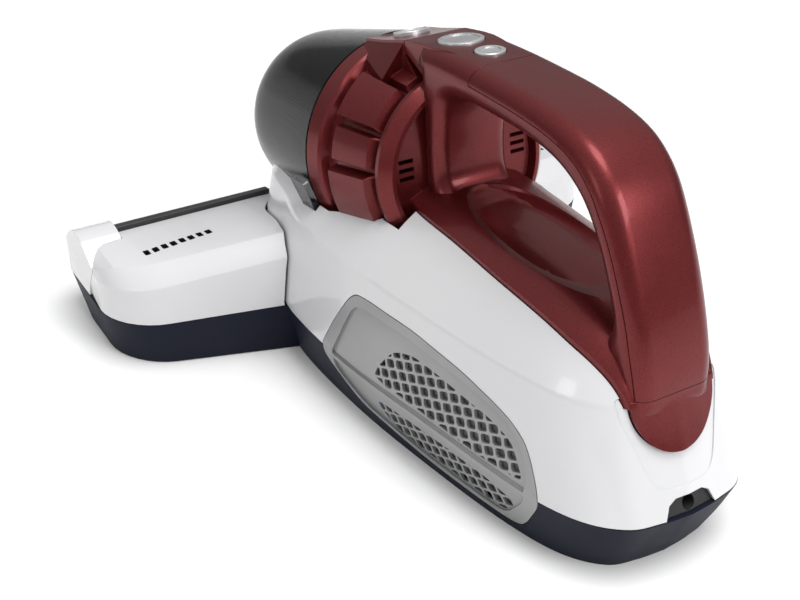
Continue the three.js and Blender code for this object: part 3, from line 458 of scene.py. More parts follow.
def smoked_bowl(name, dark, clear):
    """Smoked plastic, dark with fine turned lines, and clear towards the bowl's front end."""
    made, tree, shader, place = new_material(name, IOR=1.3, Specular_IOR_Level=0.12)
    axis = (0, math.cos(TILT), math.sin(TILT))
    along = add_node(tree, "ShaderNodeVectorMath", operation="DOT_PRODUCT")
    along.inputs[1].default_value = axis
    tree.links.new(place, along.inputs[0])
    front = float(np.dot(SEAM_CENTRE, axis) - BOWL_LENGTH) * MM
    smoke = spread(tree, along.outputs["Value"], 0, 1, front + 0.0045, front + 0.0085)
    tint = blend_colours(tree, smoke, clear, dark)
    tree.links.new(tint, shader.inputs["Base Color"])
    tree.links.new(spread(tree, smoke, 0.95, 0.15, 0, 1), shader.inputs["Transmission Weight"])
    haze = spread(tree, noise(tree, place, 120, detail=5), 0.06, 0.14, 0.4, 0.8)
    tree.links.new(haze, shader.inputs["Roughness"])
    turns = add_node(tree, "ShaderNodeMath", {0: 0, 1: 4200.0}, operation="MULTIPLY")
    tree.links.new(along.outputs["Value"], turns.inputs[0])
    lines = add_node(tree, "ShaderNodeMath", operation="SINE")
    tree.links.new(turns.outputs[0], lines.inputs[0])
    relief(tree, shader, lines.outputs[0], 0.12, 0.0002)
    return made


def build_materials():
    """Every material, by its own name; most are a slot of the frame's record."""
    return {
        "navy_plastic": moulded_plastic("navy_plastic", (0.007, 0.009, 0.020), (0.010, 0.012, 0.024), 0.5,
                                        grain=0.05, wear=0.1, specular=0.12),
        "white_plastic": moulded_plastic("white_plastic", (0.70, 0.70, 0.71), (0.68, 0.68, 0.695), 0.24,
                                         coat=0.6, wear=0.05),
        "maroon_plastic": flake_paint("maroon_plastic", (0.112, 0.009, 0.010), (0.21, 0.026, 0.028)),
        "silver_plastic": moulded_plastic("silver_plastic", (0.34, 0.34, 0.345), (0.29, 0.29, 0.295), 0.36,
                                          metallic=0.45, grain=0.06),
        "black_plastic": moulded_plastic("black_plastic", (0.014, 0.014, 0.015), (0.022, 0.022, 0.023), 0.42,
                                         grain=0.05),
        "smoke_clear": clear_plastic("smoke_clear", (0.22, 0.225, 0.23)),
        "smoked_bowl": smoked_bowl("smoked_bowl", (0.013, 0.0135, 0.0135), (0.42, 0.43, 0.44)),
        "bright_silver": moulded_plastic("bright_silver", (0.62, 0.62, 0.63), (0.55, 0.55, 0.56), 0.28,
                                         metallic=0.6, grain=0.04),
        "filter_foam": woven_cloth("filter_foam", (0.20, 0.20, 0.205), (0.10, 0.10, 0.105), 1100),
        "grey_plastic": moulded_plastic("grey_plastic", (0.15, 0.155, 0.165), (0.19, 0.195, 0.2), 0.5),
        "soft_rubber": rubber_like("soft_rubber", (0.012, 0.012, 0.013)),
        "bright_steel": brushed_metal("bright_steel", (0.56, 0.57, 0.59)),
        "filter_cloth": woven_cloth("filter_cloth", (0.70, 0.68, 0.62), (0.48, 0.46, 0.41)),
        "lamp_glass": clear_plastic("lamp_glass", (0.9, 0.92, 0.97), 0.02),
        "brush_bristle": woven_cloth("brush_bristle", (0.05, 0.07, 0.16), (0.02, 0.03, 0.08), 900),
        "board_green": moulded_plastic("board_green", (0.02, 0.10, 0.04), (0.03, 0.14, 0.06), 0.4),
    }


def show(piece, node, *more, material=None, degrees=32):
    """The finished piece stands for its nodes, rides with their body and takes their material."""
    piece.data.materials.clear()
    piece.data.materials.append(material or MATERIALS[SLOT_OF[node]])
    smooth(piece, degrees)
    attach(piece, BODY_OF[node])
    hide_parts(node, *more)
    DONE.update((node, *more))
    return piece


# ------------------------------------------------------------------ outer envelope
BELT = [
    (0, 0), (0.45, 0.01), (0.77, 0.07), (0.88, 0.16), (1, 0.274), (0.985, 0.473),
    (0.88, 0.676), (0.765, 0.828), (0.63, 0.925), (0.436, 0.98), (0.22, 0.995), (0, 1),
]
LOWER_LEVELS = [(0, 0.91, 12), (14, 0.958, 5.5), (SEAM, 1, 0)]
SIDE_LEVELS = [(SEAM, 1, 0), (50, 0.965, 10), (62, 0.93, 15), (74, 0.88, 19)]
SHOULDER_LEVELS = [
    (74, 0.88, 19), (81, 0.79, 23), (89, 0.67, 30), (95, 0.55, 40), (100, 0.41, 58),
    (103, 0.27, 80), (BODY_HEIGHT, 0.12, 105),
]


def hull(name, inset):
    """The body's outer shape, a stack of level rings, made smaller all round by an inset."""
    half = BODY_HALF - inset
    length = REAR - HULL_FRONT - 2 * inset
    side = spline(BELT, 7)
    outline = np.vstack([side, side[-2:0:-1] * (-1, 1)])
    levels = np.vstack([
        spline(LOWER_LEVELS, 4)[:-1], spline(SIDE_LEVELS, 6)[:-1], spline(SHOULDER_LEVELS, 6)])
    rings = []
    for z, width, pull in levels:
        y = HULL_FRONT + inset + outline[:, 1] * length
        y = y - pull * np.maximum(0, y / REAR)
        x = outline[:, 0] * half * width
        rise = z * (BODY_HEIGHT - inset) / BODY_HEIGHT if z > SEAM else z
        rings.append(np.stack([x, y, np.full_like(x, rise)], axis=1))
    return loft(name, rings)


def seam_height(x):
    return SEAM - SEAM_DROOP * max(0, abs(x) - SEAM_LEVEL_HALF)


def seam_side(above, gap=0.0):
    """Everything above (or below) the drooping seam between the base and the covers."""
    far = FAR if above else -FAR
    reach = 2 * NOZZLE_HALF
    edge = [(x, seam_height(x) + gap) for x in (-reach, -SEAM_LEVEL_HALF, SEAM_LEVEL_HALF, reach)]
    return prism("seam_side", [*edge, (reach, far), (-reach, far)], 2 * FRONT, 2 * REAR, 1)


def nozzle_plan(x, inset):
    """Front and trailing edge of the nozzle at a place across it."""
    half = NOZZLE_HALF - inset
    out = abs(x)
    front = FRONT + inset
    if out > half - TIP_FRONT_RADIUS:
        reach = out - (half - TIP_FRONT_RADIUS)
        front += TIP_FRONT_RADIUS - math.sqrt(max(0, TIP_FRONT_RADIUS ** 2 - reach ** 2))
    trail = FRONT + NOZZLE_REACH - inset + NOZZLE_SWEEP * (half - out) / (half - BODY_HALF)
    if out > half - TIP_REAR_RADIUS:
        reach = out - (half - TIP_REAR_RADIUS)
        trail -= TIP_REAR_RADIUS - math.sqrt(max(0, TIP_REAR_RADIUS ** 2 - reach ** 2))
    return front, trail


def nozzle(name, inset):
    """The nozzle's outer shape, a row of upright sections across it, made smaller by an inset."""
    half = NOZZLE_HALF - inset
    turns = np.linspace(0, math.pi / 2, 9)
    tips = half - TIP_REAR_RADIUS + TIP_REAR_RADIUS * np.sin(turns)
    inner = np.linspace(0, half - TIP_REAR_RADIUS, 14)[:-1]
    places = np.concatenate([-tips[::-1], -inner[:0:-1], inner, tips])
    rings = []
    for x in places:
        front, trail = nozzle_plan(x, inset)
        seam = seam_height(x)
        rise = max(0, DECK_OUTER - abs(x)) / (DECK_OUTER - DECK_INNER)
        deck = TIP_HEIGHT + (DECK_HEIGHT - TIP_HEIGHT) * rise - inset
        edge = (max(0, abs(x) - (half - TIP_ROUNDING)) / TIP_ROUNDING) ** 2 * BEVEL_DROP
        section = [
            (front + 16, 0), (front + 3, seam), (front, NOSE_HEIGHT - inset),
            (front + NOSE_REACH, min(deck, TIP_HEIGHT - inset) - edge), (trail - BEVEL_WIDTH, deck - edge),
            (trail, deck - BEVEL_DROP - edge * 0.3), (trail, seam), (trail - 1, 0),
        ]
        section = soften(section, 1.3, steps=2)
        narrow = 1 - FOOT_TUCK * np.clip(1 - section[:, 1] / seam, 0, 1)
        rings.append(np.stack([x * narrow, section[:, 0], section[:, 1]], axis=1))
    return loft(name, rings)


def container_envelope(gap):
    """The dust container's outside, grown by a gap, which its neighbours are cut clear of."""
    front = -BOWL_LENGTH - gap
    rear = RING_LENGTH + gap
    profile = [
        (0, front), (BOWL_FRONT_RADIUS * 0.8 + gap, front), (BOWL_FRONT_RADIUS * 0.96 + gap, front + 3),
        (BOWL_FRONT_RADIUS + gap, front + 9), (BOWL_RADIUS + gap, 0), (BOWL_RADIUS + gap, 12),
        (BOWL_RADIUS - 2.5 + gap, 20), (RING_REAR_RADIUS + 3.5 + gap, 43), (RING_REAR_RADIUS + gap, rear),
        (0, rear),
    ]
    return turned("container_envelope", profile)


GRILLE = [
    (14, 65), (4, 63.5), (-8, 44), (-18, 25), (-16, 20), (10, 8), (60, 4.5), (112, 4.5), (118, 7),
    (128.5, 26), (125, 35), (118, 48), (110, 54), (99, 58), (79, 62.3), (46, 65.4),
]


def grille_prism(side, grow):
    """The space of a side's grille, running from inside the body to beyond it."""
    outline = offset(soften(GRILLE, 7, steps=5), grow)
    near, far = BODY_HALF * 0.5, BODY_HALF * 1.1
    return prism("grille_space", outline, side * near, side * far, 0)


def saddle_prism(gap):
    """The space of the saddle: a long plan that ends at the rear in a round tongue."""
    edge = SADDLE_HALF + gap
    half = spline([
        (edge - 4, -12 - gap), (edge, 8), (edge, 40), (edge, 74), (edge - 1.5, 109), (edge - 3.5, 124),
        (edge - 7, 138), (edge - 10, 150), (edge - 10, REAR + 10)], 5)
    plan = np.vstack([half, half[::-1] * (-1, 1)])
    tall = prism("saddle_space", plan, 40, BODY_HEIGHT + 4, 2)
    upper = block("upper", (-FAR, FRONT, SADDLE_TONGUE_CENTRE - gap), (FAR, REAR + 20, FAR))
    tongue = ellipse(SADDLE_TONGUE_RADIUS + gap, SADDLE_TONGUE_RADIUS + gap, 64, (0, SADDLE_TONGUE_CENTRE))
    tip = prism("tip", tongue, 60, REAR + 20, 1)
    middle = block("middle", (-FAR, FRONT, 60), (FAR, 118, FAR))
    return keep(tall, join(upper, tip, middle))


# ------------------------------------------------------------------ nozzle and base
CAP_INNER = NOZZLE_HALF - 20
STRIP_INNER = 38
MOUTH_HALF = 17
WHEEL_CLEARANCE = 1.2
SCREWS = [f"base_screw_{number}" for number in range(1, 5)]
SCREW_HOLE_RADIUS = 4
SLOTS = 8
SLOTS_MIDDLE = 103.5
SLOT_PITCH = 4.7
SLOT_HALF_WIDTH = 1.5
SLOT_FRONT = FRONT + 62.5
SLOT_REAR = FRONT + 68


def cap_profile(gap):
    """Side outline of an end cap, as (place along, height)."""
    return [
        (FRONT - 5, 15), (FRONT - 5, 30), (FRONT + 10, 41 + gap), (FRONT + 22, 51.5 + gap),
        (FRONT + 29, 54 + gap), (FRONT + 38, 53 + gap), (FRONT + 54 + gap, 42), (FRONT + 48 + gap, 35),
        (FRONT + 38 + gap, 15),
    ]


def strip_profile(gap):
    """Side outline of the rubber strip along the nozzle's top front edge."""
    return [
        (FRONT + 27 - gap, 44 - gap), (FRONT + 28 - gap, 51.5 + gap), (FRONT + 34 + gap, 52.5 + gap),
        (FRONT + 35 + gap, 44 - gap),
    ]


def add_nozzle_cover():
    """The white top of the nozzle, open round the caps and strips, with a row of slots each side."""
    cover = keep(nozzle("nozzle_cover_shell", 0), seam_side(True, GAP))
    cutters = [nozzle("inner", WALL), hull("grown", -SEAM_GAP), container_envelope(CONTAINER_GAP)]
    for side in (1, -1):
        cutters.append(prism("cap", soften(cap_profile(GAP), 3), side * (CAP_INNER - GAP), side * FAR, 0))
        cutters.append(prism("strip", strip_profile(GAP), side * (STRIP_INNER - 1), side * CAP_INNER, 0))
        for i in range(SLOTS):
            x = side * (SLOTS_MIDDLE + (i - (SLOTS - 1) / 2) * SLOT_PITCH)
            near, far = x - SLOT_HALF_WIDTH, x + SLOT_HALF_WIDTH
            outline = [(near, SLOT_FRONT), (far, SLOT_FRONT), (far, SLOT_REAR), (near, SLOT_REAR)]
            cutters.append(prism("slot", soften(outline, 0.8, steps=3), 40, 70, 2))
    cover = show(cut(cover, *cutters), "nozzle_cover", degrees=14)
    # Painted shade: the upright insides of the slots take black plastic, standing for the deep shade in them.
    cover.data.materials.append(MATERIALS["black_plastic"])
    for face in cover.data.polygons:
        x, y, z = face.center / MM
        across = abs(abs(x) - SLOTS_MIDDLE) < SLOTS / 2 * SLOT_PITCH
        along = SLOT_FRONT - 0.1 < y < SLOT_REAR + 0.1
        upright = abs(face.normal.z) < 0.3
        if across and along and upright and z > TIP_HEIGHT:
            face.material_index = 1


def add_bumper():
    """End caps and rubber strips along the nozzle's front, one of each on each side."""
    places = np.linspace(-NOZZLE_HALF, NOZZLE_HALF, 160)
    edges = [nozzle_plan(x, 0) for x in places]
    plan = [(x, front) for x, (front, _) in zip(places, edges)]
    plan += [(x, trail) for x, (_, trail) in zip(places[::-1], edges[::-1])]
    for name, side in SIDES.items():
        inner, outer = side * CAP_INNER, side * (NOZZLE_HALF + 5)
        cap = prism(f"end_cap_{name}", soften(cap_profile(0), 3), inner, outer, 0)
        cap = keep(cap, prism("plan", plan, 0, 90, 2), seam_side(True, GAP))
        hollow = keep(nozzle("inner", WALL), block("low", (-FAR, -FAR, 0), (FAR, 0, 41)))
        show(cut(cap, hollow), f"bumper_cap_{name}")
        start, end = side * STRIP_INNER, side * (CAP_INNER - GAP)
        strip = prism(f"strip_{name}", soften(strip_profile(0), 0.8), start, end, 0)
        strip = cut(strip, nozzle("inner", WALL), hull("grown", -GAP), container_envelope(CONTAINER_GAP))
        show(strip, f"bumper_strip_{name}")


def add_base():
    """The dark lower tray, open for the roller, the lamp, the wheels, the screws and the grilles."""
    base = join(nozzle("base_shell", 0), hull("belly", 0))
    base = keep(base, seam_side(False))
    room = join(nozzle("room", WALL), hull("room_rear", WALL))
    room = keep(room, block("floor", (-FAR, -FAR, WALL), (FAR, FAR, 200)))
    cutters = [room]
    low_end, high_end = -1, 9
    roller_low, roller_high = extent("brush_roller")
    roller_y = (roller_low[1] + roller_high[1]) / 2
    mouth_low = (roller_low[0] - 1, roller_y - MOUTH_HALF, low_end)
    mouth_high = (roller_high[0] + 1, roller_y + MOUTH_HALF, high_end)
    cutters.append(block("mouth", mouth_low, mouth_high))
    window_low, window_high = extent("lamp_window")
    cutters.append(block("window", (*(window_low[:2] - GAP), low_end), (*(window_high[:2] + GAP), high_end)))
    for name, side in SIDES.items():
        wheel_low, wheel_high = extent(f"rear_wheel_{name}")
        well_low = (*(wheel_low[:2] - WHEEL_CLEARANCE), low_end)
        well_high = (*(wheel_high[:2] + WHEEL_CLEARANCE), high_end)
        cutters.append(block("well", well_low, well_high))
        cutters.append(grille_prism(side, GAP))
    for node in SCREWS:
        head_low, head_high = extent(node)
        centre = (head_low[:2] + head_high[:2]) / 2
        hole = ellipse(SCREW_HOLE_RADIUS, SCREW_HOLE_RADIUS, 32, centre)
        cutters.append(prism("screw_hole", hole, low_end, high_end, 2))
    show(cut(base, *cutters), "base_plate")


# ------------------------------------------------------------------ geometry node helpers
def new_tree(name, floats=(), integers=(), vectors=(), objects=()):
    """A tree with named inputs, and its input and output nodes."""
    tree = bpy.data.node_groups.new(name, "GeometryNodeTree")
    tree.interface.new_socket("Geometry", in_out="INPUT", socket_type="NodeSocketGeometry")
    kinds = (("Float", floats), ("Int", integers), ("Vector", vectors), ("Object", objects))
    for kind, names in kinds:
        for label in names:
            tree.interface.new_socket(label, in_out="INPUT", socket_type=f"NodeSocket{kind}")
    tree.interface.new_socket("Material", in_out="INPUT", socket_type="NodeSocketMaterial")
    tree.interface.new_socket("Geometry", in_out="OUTPUT", socket_type="NodeSocketGeometry")
    return tree, add_node(tree, "NodeGroupInput"), add_node(tree, "NodeGroupOutput")


def sum_node(tree, operation, first, second=0.0):
    """One step of arithmetic on numbers or on sockets."""
    node = add_node(tree, "ShaderNodeMath", operation=operation)
    for socket, value in zip(node.inputs, (first, second)):
        if isinstance(value, (int, float)):
            socket.default_value = value
        else:
            tree.links.new(value, socket)
    return node.outputs[0]


def finish_tree(tree, given, result, geometry):
    """Real geometry with the material that was given, as the tree's result."""
    real = add_node(tree, "GeometryNodeRealizeInstances")
    tree.links.new(geometry, real.inputs["Geometry"])
    finish = add_node(tree, "GeometryNodeSetMaterial")
    tree.links.new(real.outputs["Geometry"], finish.inputs["Geometry"])
    tree.links.new(given.outputs["Material"], finish.inputs["Material"])
    tree.links.new(finish.outputs["Geometry"], result.inputs["Geometry"])
    return tree


def grow_with(piece, tree, **values):
    """Runs a tree on the piece with its named inputs set, and keeps the result as plain mesh."""
    step = piece.modifiers.new(tree.name, "NODES")
    step.node_group = tree
    for item in tree.interface.items_tree:
        key = item.name.replace(" ", "_")
        if item.in_out == "INPUT" and key in values:
            step[item.identifier] = values[key]
    return bake(piece)


# ------------------------------------------------------------------ body shell and grilles
INLET = [
    (-12, 20), (12, 20), (12, SEAM + GAP), (9.8, 33.6), (6.5, 35.4), (-6.5, 35.4), (-9.8, 33.6),
    (-12, SEAM + GAP),
]
INLET_DEPTH = 1.6
# A shallow panel runs down from under the saddle to just above the inlet.
REAR_PANEL = [(-25, 77), (-24.5, 70), (-16, 44), (-11, 39.2), (11, 39.2), (16, 44), (24.5, 70), (25, 77)]
REAR_PANEL_DEPTH = 0.45


def add_body_shell():
    """The white upper cover, with the cradle of the dust container and openings for its neighbours."""
    cradle = turned("cradle", [
        (0, -BOWL_LENGTH - 4), (BOWL_FRONT_RADIUS + 3, -BOWL_LENGTH - 4), (BOWL_RADIUS + 3.8, 0),
        (RING_REAR_RADIUS + 3.8, RING_LENGTH), (0, RING_LENGTH)])
    cradle = keep(cradle, hull("limit", 0), block("front_part", (-FAR, -FAR, 42), (FAR, 20, FAR)))
    shell = keep(hull("cover_shell", 0), seam_side(True, GAP))
    shell = join(cut(shell, hull("inner", WALL)), cradle)
    bulkhead = turned("bulkhead_space", [
        (0, RING_LENGTH), (BULKHEAD_RADIUS + GAP, RING_LENGTH),
        (BULKHEAD_RADIUS + GAP, BULKHEAD_REAR + 2),
        (0, BULKHEAD_REAR + 2)])
    inlet = prism("inlet", offset(INLET, GAP), REAR - 14, REAR + 10, 1)
    under = block("under_nozzle", (-FAR, -FAR, 0), (FAR, FRONT + 104, 42))
    cutters = [container_envelope(CONTAINER_GAP), saddle_prism(GAP), bulkhead, inlet, under, tab_block(1.5)]
    cutters += [grille_prism(side, GAP) for side in (1, -1)]
    rear_panel = prism("rear_panel", soften(REAR_PANEL, 5), REAR - 60, REAR + 10, 1)
    cutters.append(keep(rear_panel, cut(hull("skin", -1), hull("skin_in", REAR_PANEL_DEPTH))))
    show(cut(shell, *cutters), "body_shell", degrees=24)


def add_cord_inlet():
    """The black gland at the rear, set back a little, with the hole for a cord."""
    gland = prism("cord_inlet_gland", INLET, REAR - 12, REAR + 10, 1)
    gland = keep(gland, hull("gland_limit", INLET_DEPTH), seam_side(True, GAP))
    hole = prism("inlet_hole", ellipse(3, 3, 32, (0, 31.8)), REAR - 20, REAR + 10, 1)
    show(cut(gland, hole), "cord_inlet")


def perforate_tree():
    """Cuts a slanted field of small holes through a panel, wherever it lies inside an area."""
    tree, given, result = new_tree(
        "perforate", ("Pitch", "Row Pitch", "Row Shift", "Hole Length", "Hole Height", "Slant"),
        ("Columns", "Rows"), ("Centre",), ("Area",))
    link = tree.links.new
    maths = partial(sum_node, tree)
    span = maths("MULTIPLY", given.outputs["Pitch"], maths("SUBTRACT", given.outputs["Columns"], 1.0))
    rise = maths("MULTIPLY", given.outputs["Row Pitch"], maths("SUBTRACT", given.outputs["Rows"], 1.0))
    grid = add_node(tree, "GeometryNodeMeshGrid")
    link(span, grid.inputs["Size X"])
    link(rise, grid.inputs["Size Y"])
    link(given.outputs["Columns"], grid.inputs["Vertices X"])
    link(given.outputs["Rows"], grid.inputs["Vertices Y"])
    # One hole is a rounded rectangle, grown into a closed plug.
    outline = add_node(tree, "GeometryNodeCurvePrimitiveQuadrilateral")
    link(given.outputs["Hole Length"], outline.inputs["Width"])
    link(given.outputs["Hole Height"], outline.inputs["Height"])
    rounded = add_node(tree, "GeometryNodeFilletCurve", {"Radius": 0.0011, "Count": 3}, mode="POLY")
    link(outline.outputs["Curve"], rounded.inputs["Curve"])
    flat = add_node(tree, "GeometryNodeFillCurve", mode="NGONS")
    link(rounded.outputs["Curve"], flat.inputs["Curve"])
    centred = add_node(tree, "GeometryNodeTransform", {"Translation": (0, 0, -0.1)})
    link(flat.outputs["Mesh"], centred.inputs["Geometry"])
    walls = add_node(tree, "GeometryNodeExtrudeMesh", {"Offset": (0, 0, 0.2), "Individual": False})
    link(centred.outputs["Geometry"], walls.inputs["Mesh"])
    back = add_node(tree, "GeometryNodeFlipFaces")
    link(centred.outputs["Geometry"], back.inputs["Mesh"])
    both = add_node(tree, "GeometryNodeJoinGeometry")
    link(walls.outputs["Mesh"], both.inputs["Geometry"])
    link(back.outputs["Mesh"], both.inputs["Geometry"])
    plug = add_node(tree, "GeometryNodeMergeByDistance", {"Distance": 0.00001})
    link(both.outputs["Geometry"], plug.inputs["Geometry"])
    # Each row is set a little further along than the one above it.
    index = add_node(tree, "GeometryNodeInputIndex")
    row = maths("MODULO", index.outputs["Index"], given.outputs["Rows"])
    middle = maths("MULTIPLY", given.outputs["Rows"], 0.5)
    move = add_node(tree, "ShaderNodeCombineXYZ")
    link(maths("MULTIPLY", maths("SUBTRACT", middle, row), given.outputs["Row Shift"]), move.inputs["X"])
    sheared = add_node(tree, "GeometryNodeSetPosition")
    link(grid.outputs["Mesh"], sheared.inputs["Geometry"])
    link(move.outputs["Vector"], sheared.inputs["Offset"])
    holes = add_node(tree, "GeometryNodeInstanceOnPoints")
    link(sheared.outputs["Geometry"], holes.inputs["Points"])
    link(plug.outputs["Geometry"], holes.inputs["Instance"])
    # Drawn flat, turned by the slant, then stood up to face sideways.
    spin = add_node(tree, "ShaderNodeCombineXYZ")
    link(given.outputs["Slant"], spin.inputs["Z"])
    slanted = add_node(tree, "GeometryNodeTransform")
    link(holes.outputs["Instances"], slanted.inputs["Geometry"])
    link(spin.outputs["Vector"], slanted.inputs["Rotation"])
    upright = add_node(tree, "GeometryNodeTransform", {"Rotation": (math.pi / 2, 0, math.pi / 2)})
    link(slanted.outputs["Geometry"], upright.inputs["Geometry"])
    link(given.outputs["Centre"], upright.inputs["Translation"])
    solid = add_node(tree, "GeometryNodeRealizeInstances")
    link(upright.outputs["Geometry"], solid.inputs["Geometry"])
    area = add_node(tree, "GeometryNodeObjectInfo")
    link(given.outputs["Area"], area.inputs["Object"])
    inside = add_node(tree, "GeometryNodeMeshBoolean", operation="INTERSECT", solver="MANIFOLD")
    link(solid.outputs["Geometry"], inside.inputs["Mesh 2"])
    link(area.outputs["Geometry"], inside.inputs["Mesh 2"])
    opened = add_node(tree, "GeometryNodeMeshBoolean", operation="DIFFERENCE", solver="MANIFOLD")
    link(given.outputs["Geometry"], opened.inputs["Mesh 1"])
    link(inside.outputs["Mesh"], opened.inputs["Mesh 2"])
    return finish_tree(tree, given, result, opened.outputs["Mesh"])


UPPER_AREA = [
    (24.4, 32.5), (29, 41), (36.5, 50.2), (48.7, 54.3), (65.5, 53.5), (85, 51.2), (97.6, 49.7), (109.5, 45.5),
    (117, 34), (117.5, 31.4), (96, 30.6), (72, 31.2), (48.5, 31.4), (30.6, 31),
]
LOWER_AREA = [
    (24.8, 17.5), (32, 19), (52, 20.5), (75, 21.5), (89.5, 21), (99.7, 20.5), (114, 16.6), (108, 8.2),
    (94, 7.6), (60.7, 8), (38, 8), (28.7, 13),
]
FIELD = [
    (-9, 26), (-9, 18), (14, 9.5), (60, 7), (108, 7), (120, 22), (121, 34),
    (115, 46.8), (104.6, 54.3), (81, 58.4), (48, 61), (15, 60.6), (6, 58.4),
]
RIDGE = [(-14, 26.4), (24.6, 28.6), (54.4, 29.8), (81, 30), (105.6, 29.6), (126, 28.9)]
RIDGE_WIDTH = 3.6
RIDGE_CHAMFER = 1.4
RIDGE_STEPS = 5
RIDGE_RISE = 1.1
FIELD_DEPTH = 1.3


def add_grilles():
    """Silver side panels with a set-back field, a ridge across it and two perforated areas."""
    tree = perforate_tree()
    for name, side in SIDES.items():
        panel = keep(cut(hull(f"grille_{name}", 0), hull("inner", WALL + 0.5)), grille_prism(side, 0))
        # The field inside the frame is set back, and a ridge across it stays proud.
        field = prism("field", soften(FIELD, 6), side * 20, side * 90, 0)
        field = keep(field, cut(hull("skin", -2), hull("skin_in", FIELD_DEPTH)))
        foot = [(y, z - RIDGE_WIDTH) for y, z in reversed(RIDGE)]
        for step in range(RIDGE_STEPS):
            top = [(y, z - step * RIDGE_CHAMFER / RIDGE_STEPS) for y, z in RIDGE]
            depth = RIDGE_RISE * (1 - (step + 1) / RIDGE_STEPS)
            ridge = prism("ridge", [*top, *foot], side * 10, side * 100, 0)
            field = cut(field, keep(ridge, hull("ridge_top", depth)))
        panel = cut(panel, field)
        for area in (UPPER_AREA, LOWER_AREA):
            centre_y, centre_z = np.mean(area, axis=0)
            space = prism("area", soften(area, 4), side * 20, side * 90, 0)
            grow_with(
                panel, tree, Area=space, Pitch=6.3 * MM, Row_Pitch=5.0 * MM, Row_Shift=1.12 * MM,
                Hole_Length=5.0 * MM, Hole_Height=3.9 * MM, Columns=24, Rows=17,
                Centre=(side * 55 * MM, centre_y * MM, centre_z * MM), Slant=math.radians(20.4),
                Material=MATERIALS["silver_plastic"])
            bpy.data.objects.remove(space)
        show(panel, f"vent_grille_{name}")


# ------------------------------------------------------------------ handle
TOP_LINE = [
    (-12, 166.4), (5, 168.4), (25, 169.3), (45, 169.5), (65, 169.2), (85, 167.3), (100, 163.5),
    (111, 157), (120, 147.5), (129, 132), (137, 115), (143, 99), (147, 84), (148.2, 70),
]
OPENING = [
    (8.4, 142), (12.5, 148.5), (23, 152), (45, 153), (70, 152.4), (88, 149.3), (102, 142), (112, 130.5),
    (120, 116), (125.5, 102), (122, 93.6), (108, 92.7), (80, 96), (40, 100.5), (17, 103.6), (9.5, 109),
    (7, 120), (7, 132),
]
TONGUE = [
    (-26, 158.8), (-26, 163.9), (-12, 166.4), (5, 168.4), (25, 169.3), (25, 158), (-3, 148), (-12.6, 153.3),
]
# It narrows towards the rear, so that its edges run out into the rounded handle.
TONGUE_PLAN = [(16, -30), (16, -4), (10, 26), (-10, 26), (-16, -4), (-16, -30)]
COVER_SEAM = [
    (30, 162.5), (62, 162.2), (83, 160.6), (98, 157), (109, 150), (117.5, 140), (125, 128), (131, 116),
    (136, 104.5), (140, 93), (143, 83), (144.5, 76),
]
DIP_HALF = 23
DIP_HALF_LENGTH = 58
DIP_CENTRE = 70
DIP_DEPTH = 8
BULKHEAD_SLOTS = (110.3, 114.2, 118.1)
BUTTONS = {
    "power_button": {"y": -5.5, "top": 167.2, "length": 9.5, "width": 10.5, "tilt": 0.12},
    "release_button": {"y": 16.5, "top": 168.9, "length": 6, "width": 7, "tilt": 0.045},
}


def cover_space(gap):
    """Everything outside the seam between the grip cover and the handle."""
    inner = spline(COVER_SEAM, 5) - 0.7 * gap
    inner[0] = (30 - gap, 162.5 - gap)
    edge = [*inner, (REAR + 20, 76 - gap), (REAR + 20, 200), (30 - gap, 200)]
    return prism("cover_space", edge, -2 * GRIP_HALF, 2 * GRIP_HALF, 0)


def button_solid(name, button, grow, start, end):
    """An oval pillar standing on the handle's top at a button's place."""
    ring = ellipse(button["width"] + grow, button["length"] + grow, 56)
    lean = Matrix.Rotation(button["tilt"], 3, "X")
    place = np.array([0, button["y"], button["top"]])
    rings = []
    levels = [(start, 1.0), (end - 0.8, 1.0), (end - 0.25, 0.985), (end, 0.93)]
    for height, share in levels:
        flat = np.column_stack([ring * share, np.full(len(ring), height)])
        rings.append(flat @ np.array(lean).T + place)
    return loft(name, rings)


def handle_loop():
    """The loop itself, with the tongue that reaches forward under the buttons."""
    outline = np.vstack([
        spline(TOP_LINE, 6), [(144, 60), (118, 78), (60, 94), (8, 88), (-2, 88), (-3, 100)]])
    loop = rounded_prism("handle_body", outline, GRIP_HALF, 8.5)
    tongue = prism("tongue", TONGUE, -16, 16, 0)
    tongue = keep(tongue, prism("tongue_plan", TONGUE_PLAN, 100, 200, 2))
    opening = rounded_prism("opening", spline(OPENING, 6, closed=True), GRIP_HALF, 8, flared=True)
    return cut(join(loop, tongue), opening)


def saddle():
    """The saddle that lies on the body, with a long shallow dip for the fingers."""
    skin = cut(keep(saddle_prism(0), hull("proud", -SADDLE_PROUD)), hull("inner", WALL + 2))
    outline = ellipse(DIP_HALF, DIP_HALF_LENGTH, 64)
    rings = []
    for turn in np.linspace(-1.5, 1.5, 15):
        level = np.full(len(outline), BODY_HEIGHT + 1 + DIP_DEPTH * math.sin(turn))
        narrowed = outline * math.cos(turn) + (0, DIP_CENTRE)
        rings.append(np.column_stack([narrowed, level]))
    dip = cut(loft("dip", rings), hull("keep_floor", WALL))
    return cut(skin, dip, container_envelope(CONTAINER_GAP))


def bulkhead():
    """The round plate behind the dust container, with three slots on each side."""
    rim, face, rear = BULKHEAD_RADIUS, RING_LENGTH, BULKHEAD_REAR
    plate = turned("bulkhead", [
        (0, face + 1.2), (rim - 1, face + 1.2), (rim, face + 2.4), (rim, face + 5), (rim - 4.5, rear - 0.6),
        (rim - 6.5, rear - 0.4), (rim - 8, rear - 4.5), (0, rear - 4.5),
    ])
    for side in SIDES.values():
        for z in BULKHEAD_SLOTS:
            slot = block("slot", (side * 26, -12, z - 0.9), (side * 33.5, 12, z + 0.9))
            plate = cut(plate, slot)
    return plate


